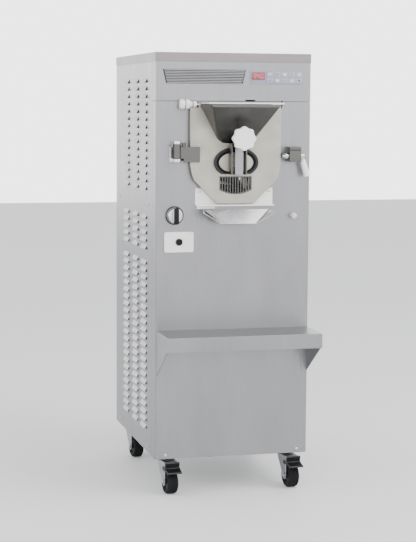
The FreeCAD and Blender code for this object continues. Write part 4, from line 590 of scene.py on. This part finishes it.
def make_lid_rod():
    """The lid's steel rod and its white knob and collar with dark bands; the sprung clip at the rod's other end
    comes from make_rod_clip.
    """
    low, high = bounds_of("lid_pin")
    y, z = low.y + lid_knob_radius, high.z - lid_knob_radius
    knob_end = low.x
    knob_inner = knob_end + 31.0 * MM
    rod = bmesh.new()
    reach = high.x - knob_inner + 6.0 * MM
    lathe(rod, [(3.6 * MM, 0), (4.0 * MM, 0.6 * MM), (4.0 * MM, reach - 1.2 * MM), (3.0 * MM, reach)],
          (knob_inner - 6.0 * MM, y, z), (1, 0, 0), 28)
    on_node("lid_rod", rod, finish["bright_steel"], "lid_pin", ("lid_pin",))
    knob = bmesh.new()
    lathe(knob, [(0, 0), (12.0 * MM, 0), (14.6 * MM, 1.2 * MM), (15.4 * MM, 4.0 * MM, 8),
                 (15.4 * MM, 13.0 * MM, 8), (13.2 * MM, 15.0 * MM), (13.2 * MM, 18.0 * MM),
                 (15.4 * MM, 20.0 * MM, 8), (15.0 * MM, 28.0 * MM, 8), (12.4 * MM, 31.0 * MM)],
          (knob_end, y, z), (1, 0, 0), 64)
    collar = 21.0 * MM
    lathe(knob, [(9.4 * MM, 0), (9.4 * MM, collar * 0.35), (8.2 * MM, collar * 0.42),
                 (8.2 * MM, collar * 0.55), (9.4 * MM, collar * 0.62), (9.0 * MM, collar)],
          (knob_inner - 0.5 * MM, y, z), (1, 0, 0), 40)
    on_node("lid_knob", knob, finish["white_plastic"], "lid_pin")
    marks = bmesh.new()
    for place, radius in ((knob_end + 15.2 * MM, 13.6 * MM), (knob_inner + 8.2 * MM, 8.7 * MM)):
        lathe(marks, [(radius - 0.6 * MM, 0), (radius, 0.4 * MM), (radius, 2.2 * MM),
                      (radius - 0.6 * MM, 2.6 * MM)], (place, y, z), (1, 0, 0), 40)
    on_node("lid_knob_bands", marks, finish["black_plastic"], "lid_pin")


def bent_wire(mesh_data, path, radius, segments=14):
    """A round wire along a path of points, closed at both ends."""
    rings = []
    side = None
    for index, spot in enumerate(path):
        before = path[max(index - 1, 0)]
        after = path[min(index + 1, len(path) - 1)]
        along = (Vector(after) - Vector(before)).normalized()
        guide = along.orthogonal() if side is None else side - along * side.dot(along)
        side = guide.normalized()
        other = along.cross(side)
        angles = [2 * math.pi * k / segments for k in range(segments)]
        rings.append([mesh_data.verts.new(Vector(spot) + (side * math.cos(angle) + other * math.sin(angle))
                                          * radius) for angle in angles])
    for first, second in zip(rings, rings[1:]):
        for k in range(segments):
            after = (k + 1) % segments
            mesh_data.faces.new((first[k], first[after], second[after], second[k]))
    mesh_data.faces.new(rings[0])
    mesh_data.faces.new(rings[-1])


def make_rod_clip():
    """The sprung wire clip through the rod's free end."""
    low, high = bounds_of("lid_pin")
    x = high.x - 6.0 * MM
    y, z = low.y + lid_knob_radius, high.z - lid_knob_radius
    wire = bmesh.new()
    steps = ((0, -13.0), (0, 9.0), (2.0, 12.5), (5.0, 13.0), (7.0, 9.0), (5.4, 1.0), (7.5, -6.0))
    path = [(x, y - forward * MM, z + rise * MM) for forward, rise in steps]
    bent_wire(wire, path, 1.2 * MM)
    on_node("rod_clip", wire, finish["black_plastic"], "lid_pin")


def make_clamp_ring():
    """The bright ring round the clamp's nose."""
    place = Vector(joints["clamp_turn"]["pos_m"])
    low = bounds_of("clamp_lever")[0]
    nose = bmesh.new()
    lathe(nose, [(6.0 * MM, 0), (9.4 * MM, 0.8 * MM), (9.4 * MM, 5.0 * MM), (7.4 * MM, 6.0 * MM)],
          (low.x + 10.5 * MM, place.y, place.z), (1, 0, 0), 36)
    on_node("clamp_nose_ring", nose, finish["bright_steel"], "clamp_lever")


def make_tap_fittings():
    """The dark seat ring between the tap's flange and its handle, and the grip over the handle's blade."""
    low, high = bounds_of("tap_flange")
    centre = ((low.x + high.x) / 2, low.y + 0.5 * MM, (low.z + high.z) / 2)
    seat = bmesh.new()
    lathe(seat, [(28.6 * MM, 0), (28.6 * MM, 0.6 * MM), (27.4 * MM, 1.0 * MM), (24.0 * MM, 1.0 * MM),
                 (23.6 * MM, 0.4 * MM)], centre, (0, -1, 0), 56)
    on_node("tap_seat", seat, finish["black_plastic"], "tap_flange")
    low, high = bounds_of("tap_handle")
    grip = bmesh.new()
    pillow(grip, ((low.x + high.x) / 2, low.y + 16.0 * MM, (low.z + high.z) / 2), mm(13.2, 51.2, 16.5),
           4.5 * MM, 1.6 * MM)
    on_node("tap_grip", grip, finish["black_plastic"], "tap_handle")


half_wheel = 17.0 * MM
axle_end = 21.6 * MM


def wheel_section(side, tread=()):
    """A closed section from one side's (radius, inset) points, the tread between, and the other side."""
    near = [(radius, inset - half_wheel) for radius, inset in side]
    far = [(radius, half_wheel - inset) for radius, inset in reversed(side)]
    return near + list(tread) + far


def make_wheels():
    """Tyres with three grooves in the tread, on dished hubs."""
    for side in casters:
        node = side + "_caster_wheel"
        roll = joints[side + "_wheel_roll"]
        centre = Vector(roll["pos_m"])
        axis = Vector(roll["axis"]).normalized()
        low, high = bounds_of(node)
        radius = (high.z - low.z) / 2
        wall = [(radius - drop * MM, inset * MM)
                for drop, inset in ((10.5, 3.0), (9.0, 0.6), (4.0, 0.0), (1.6, 1.6), (0.15, 5.0))]
        tread = []
        for groove in (-7.0, 0.0, 7.0):
            at = groove * MM
            tread += [(radius, at - 1.4 * MM), (radius - 0.9 * MM, at - 0.6 * MM),
                      (radius - 0.9 * MM, at + 0.6 * MM), (radius, at + 1.4 * MM)]
        tyre = bmesh.new()
        lathe_ring(tyre, wheel_section(wall, tread), centre, axis, 72)
        on_node(side + "_tyre", tyre, finish["tread"], node, (node,))
        rim = radius - 10.2 * MM
        disc = [mm(5.2, -0.2), mm(9.0, -0.2), mm(9.6, 5.5), (rim - 4.0 * MM, 7.0 * MM),
                (rim - 2.6 * MM, 2.6 * MM), (rim, 2.8 * MM)]
        hub = bmesh.new()
        lathe_ring(hub, wheel_section(disc), centre, axis, 48)
        on_node(side + "_hub", hub, hub_plastic, node)


def lathe_ring(mesh_data, profile, centre, axis, segments):
    """Adds a turned ring whose section is a closed loop of (radius, height) points."""
    turn = turn_to(axis)
    rings = []
    for radius, height in profile:
        rings.append([mesh_data.verts.new(Vector(centre) + turn @ Vector((
            radius * math.cos(2 * math.pi * index / segments),
            radius * math.sin(2 * math.pi * index / segments), height))) for index in range(segments)])
    for first, second in zip(rings, rings[1:] + rings[:1]):
        for index in range(segments):
            after = (index + 1) % segments
            mesh_data.faces.new((first[index], first[after], second[after], second[index]))


def make_axle_nuts():
    """A domed nut at each end of each caster's axle."""
    for side in casters:
        node = side + "_caster_fork"
        roll = joints[side + "_wheel_roll"]
        centre = Vector(roll["pos_m"])
        axis = Vector(roll["axis"]).normalized()
        nuts = bmesh.new()
        for sign in (-1, 1):
            seat = centre + axis * sign * axle_end
            lathe(nuts, [(8.2 * MM, 0, 6), (8.2 * MM, 2.6 * MM, 6), (6.6 * MM, 3.2 * MM),
                         (5.6 * MM, 3.8 * MM), (3.6 * MM, 5.0 * MM), (0, 5.4 * MM)], seat, axis * sign)
        on_node(side + "_axle_nuts", nuts, finish["zinc"], node)


def ridge(mesh_data, start, end, outward, width, height):
    """A straight raised rib with sloping sides between two places on a surface."""
    start, end, outward = Vector(start), Vector(end), Vector(outward).normalized()
    side = (end - start).normalized().cross(outward).normalized()
    slope = (end - start).normalized() * height
    rings = []
    for spot, lean in ((start, 1), (end, -1)):
        rings.append([mesh_data.verts.new(corner) for corner in (
            spot - side * width / 2, spot + side * width / 2,
            spot + side * width * 0.3 + outward * height + slope * lean,
            spot - side * width * 0.3 + outward * height + slope * lean)])
    first, second = rings
    mesh_data.faces.new(first)
    mesh_data.faces.new(second)
    for index in range(4):
        after = (index + 1) % 4
        mesh_data.faces.new((first[index], first[after], second[after], second[index]))


def make_condenser_fins():
    """Thin upright fins over the condenser's rear face, seen through the rear panel's slots."""
    low, high = bounds_of("condenser")
    fins = bmesh.new()
    count = 56
    pitch = (high.x - low.x - 8.0 * MM) / count
    for index in range(count + 1):
        x = low.x + 4.0 * MM + pitch * index
        ridge(fins, (x, high.y - 0.3 * MM, low.z + 4.0 * MM), (x, high.y - 0.3 * MM, high.z - 4.0 * MM),
              (0, 1, 0), 1.6 * MM, 3.0 * MM)
    on_node("condenser_fins", fins, finish["fin_aluminium"], "condenser")


def make_motor_fins():
    """Cooling fins along the upper part of the beater motor."""
    low, high = bounds_of("beater_motor")
    radius = (high.x - low.x) / 2
    centre_z = low.z + radius
    fins = bmesh.new()
    for step in range(-7, 8):
        angle = math.radians(90 + 14 * step)
        outward = Vector((math.cos(angle), 0, math.sin(angle)))
        root = outward * (radius - 0.8 * MM) + Vector((0, 0, centre_z))
        ridge(fins, root + Vector((0, low.y + 26 * MM, 0)), root + Vector((0, high.y - 50 * MM, 0)),
              outward, 4.0 * MM, 6.0 * MM)
    on_node("motor_fins", fins, finish["motor_paint"], "beater_motor")


def make_compressor_details():
    """The welded seam round the compressor's shell and the terminal cover on its front."""
    low, high = bounds_of("compressor")
    centre = Vector(((low.x + high.x) / 2, (low.y + high.y) / 2, low.z + (high.z - low.z) * 0.55))
    shell = 90.0 * MM
    seam = bmesh.new()
    lathe_ring(seam, [(shell - 0.6 * MM, -2.2 * MM), (shell + 2.6 * MM, -1.6 * MM),
                      (shell + 3.4 * MM, 0), (shell + 2.6 * MM, 1.6 * MM), (shell - 0.6 * MM, 2.2 * MM)],
               centre, (0, 0, 1), 72)
    on_node("compressor_seam", seam, finish["compressor_paint"], "compressor")
    cover = bmesh.new()
    seat = (centre.x, centre.y - shell + 5.0 * MM, centre.z + 45.0 * MM)
    pillow(cover, seat, mm(58, 46, 22), 8.0 * MM, 3.0 * MM)
    on_node("terminal_cover", cover, finish["black_plastic"], "compressor")


# ---------------------------------------------------------------- camera, light and floor

def make_camera():
    yaw, pitch, roll = math.radians(14.3807), math.radians(-6.2065), math.radians(0.3720)
    forward = Vector((math.sin(yaw) * math.cos(pitch), math.cos(yaw) * math.cos(pitch), math.sin(pitch)))
    right = forward.cross(UP).normalized()
    up = right.cross(forward)
    across = right * math.cos(roll) + up * math.sin(roll)
    upright = up * math.cos(roll) - right * math.sin(roll)
    data = bpy.data.cameras.new("camera")
    data.lens = 101.88
    data.sensor_width = 36.0
    camera = bpy.data.objects.new("camera", data)
    camera.matrix_world = Matrix((across, upright, -forward)).transposed().to_4x4()
    camera.location = (-1.2619, -4.84745, 1.2233)
    bpy.context.scene.collection.objects.link(camera)
    bpy.context.scene.camera = camera


def softbox(name, location, target, size, power, color=(1, 1, 1)):
    data = bpy.data.lights.new(name, "AREA")
    data.shape = "RECTANGLE"
    data.size, data.size_y = size
    data.energy = power
    data.color = color
    lamp = bpy.data.objects.new(name, data)
    lamp.location = location
    lamp.rotation_mode = "QUATERNION"
    lamp.rotation_quaternion = (Vector(target) - Vector(location)).to_track_quat("-Z", "Y")
    bpy.context.scene.collection.objects.link(lamp)


def make_world():
    """A white cyclorama: bright round the horizon, darker overhead."""
    world = bpy.data.worlds.new("studio")
    world.use_nodes = True
    tree = world.node_tree
    place = tree.nodes.new("ShaderNodeTexCoord")
    parts = tree.nodes.new("ShaderNodeSeparateXYZ")
    tree.links.new(place.outputs["Generated"], parts.inputs["Vector"])
    rise = ranged(tree, parts.outputs["Z"], 0.0, 1.0, 0.10, 0.75)
    tone = blended(tree, rise, (3.6, 3.62, 3.65), (0.55, 0.56, 0.59))
    background = tree.nodes["Background"]
    tree.links.new(tone, background.inputs["Color"])
    background.inputs["Strength"].default_value = 1.0
    bpy.context.scene.world = world


def make_floor():
    mesh_data = bmesh.new()
    bmesh.ops.create_grid(mesh_data, x_segments=8, y_segments=8, size=14.0)
    mesh = bpy.data.meshes.new("floor")
    mesh_data.to_mesh(mesh)
    mesh_data.free()
    mesh.materials.append(floor_finish)
    floor = bpy.data.objects.new("floor", mesh)
    floor.location = (0, 0, cad_box[0].z - 0.0005)
    bpy.context.scene.collection.objects.link(floor)


def make_studio():
    softbox("overhead_softbox", (2.3, -1.9, 3.7), (0.6, -0.6, 0.9), (2.6, 2.6), 110)
    softbox("front_softbox", (-0.6, -4.8, 3.8), (0, -0.2, 0.7), (4.6, 2.6), 70)
    softbox("left_softbox", (-3.6, -0.4, 2.9), (-0.2, 0, 0.8), (2.0, 2.2), 30)
    make_world()
    make_floor()


make_camera()
make_studio()
for node_name, node_object in nodes.items():
    node_object.data.materials.clear()
    node_object.data.materials.append(finish[slot_of[node_name]])
make_rounded_parts()
make_trim()
make_display()
make_screw_heads()
make_gate_face()
make_lid_rod()
make_rod_clip()
make_clamp_ring()
make_tap_fittings()
make_wheels()
make_axle_nuts()
make_condenser_fins()
make_motor_fins()
make_compressor_details()
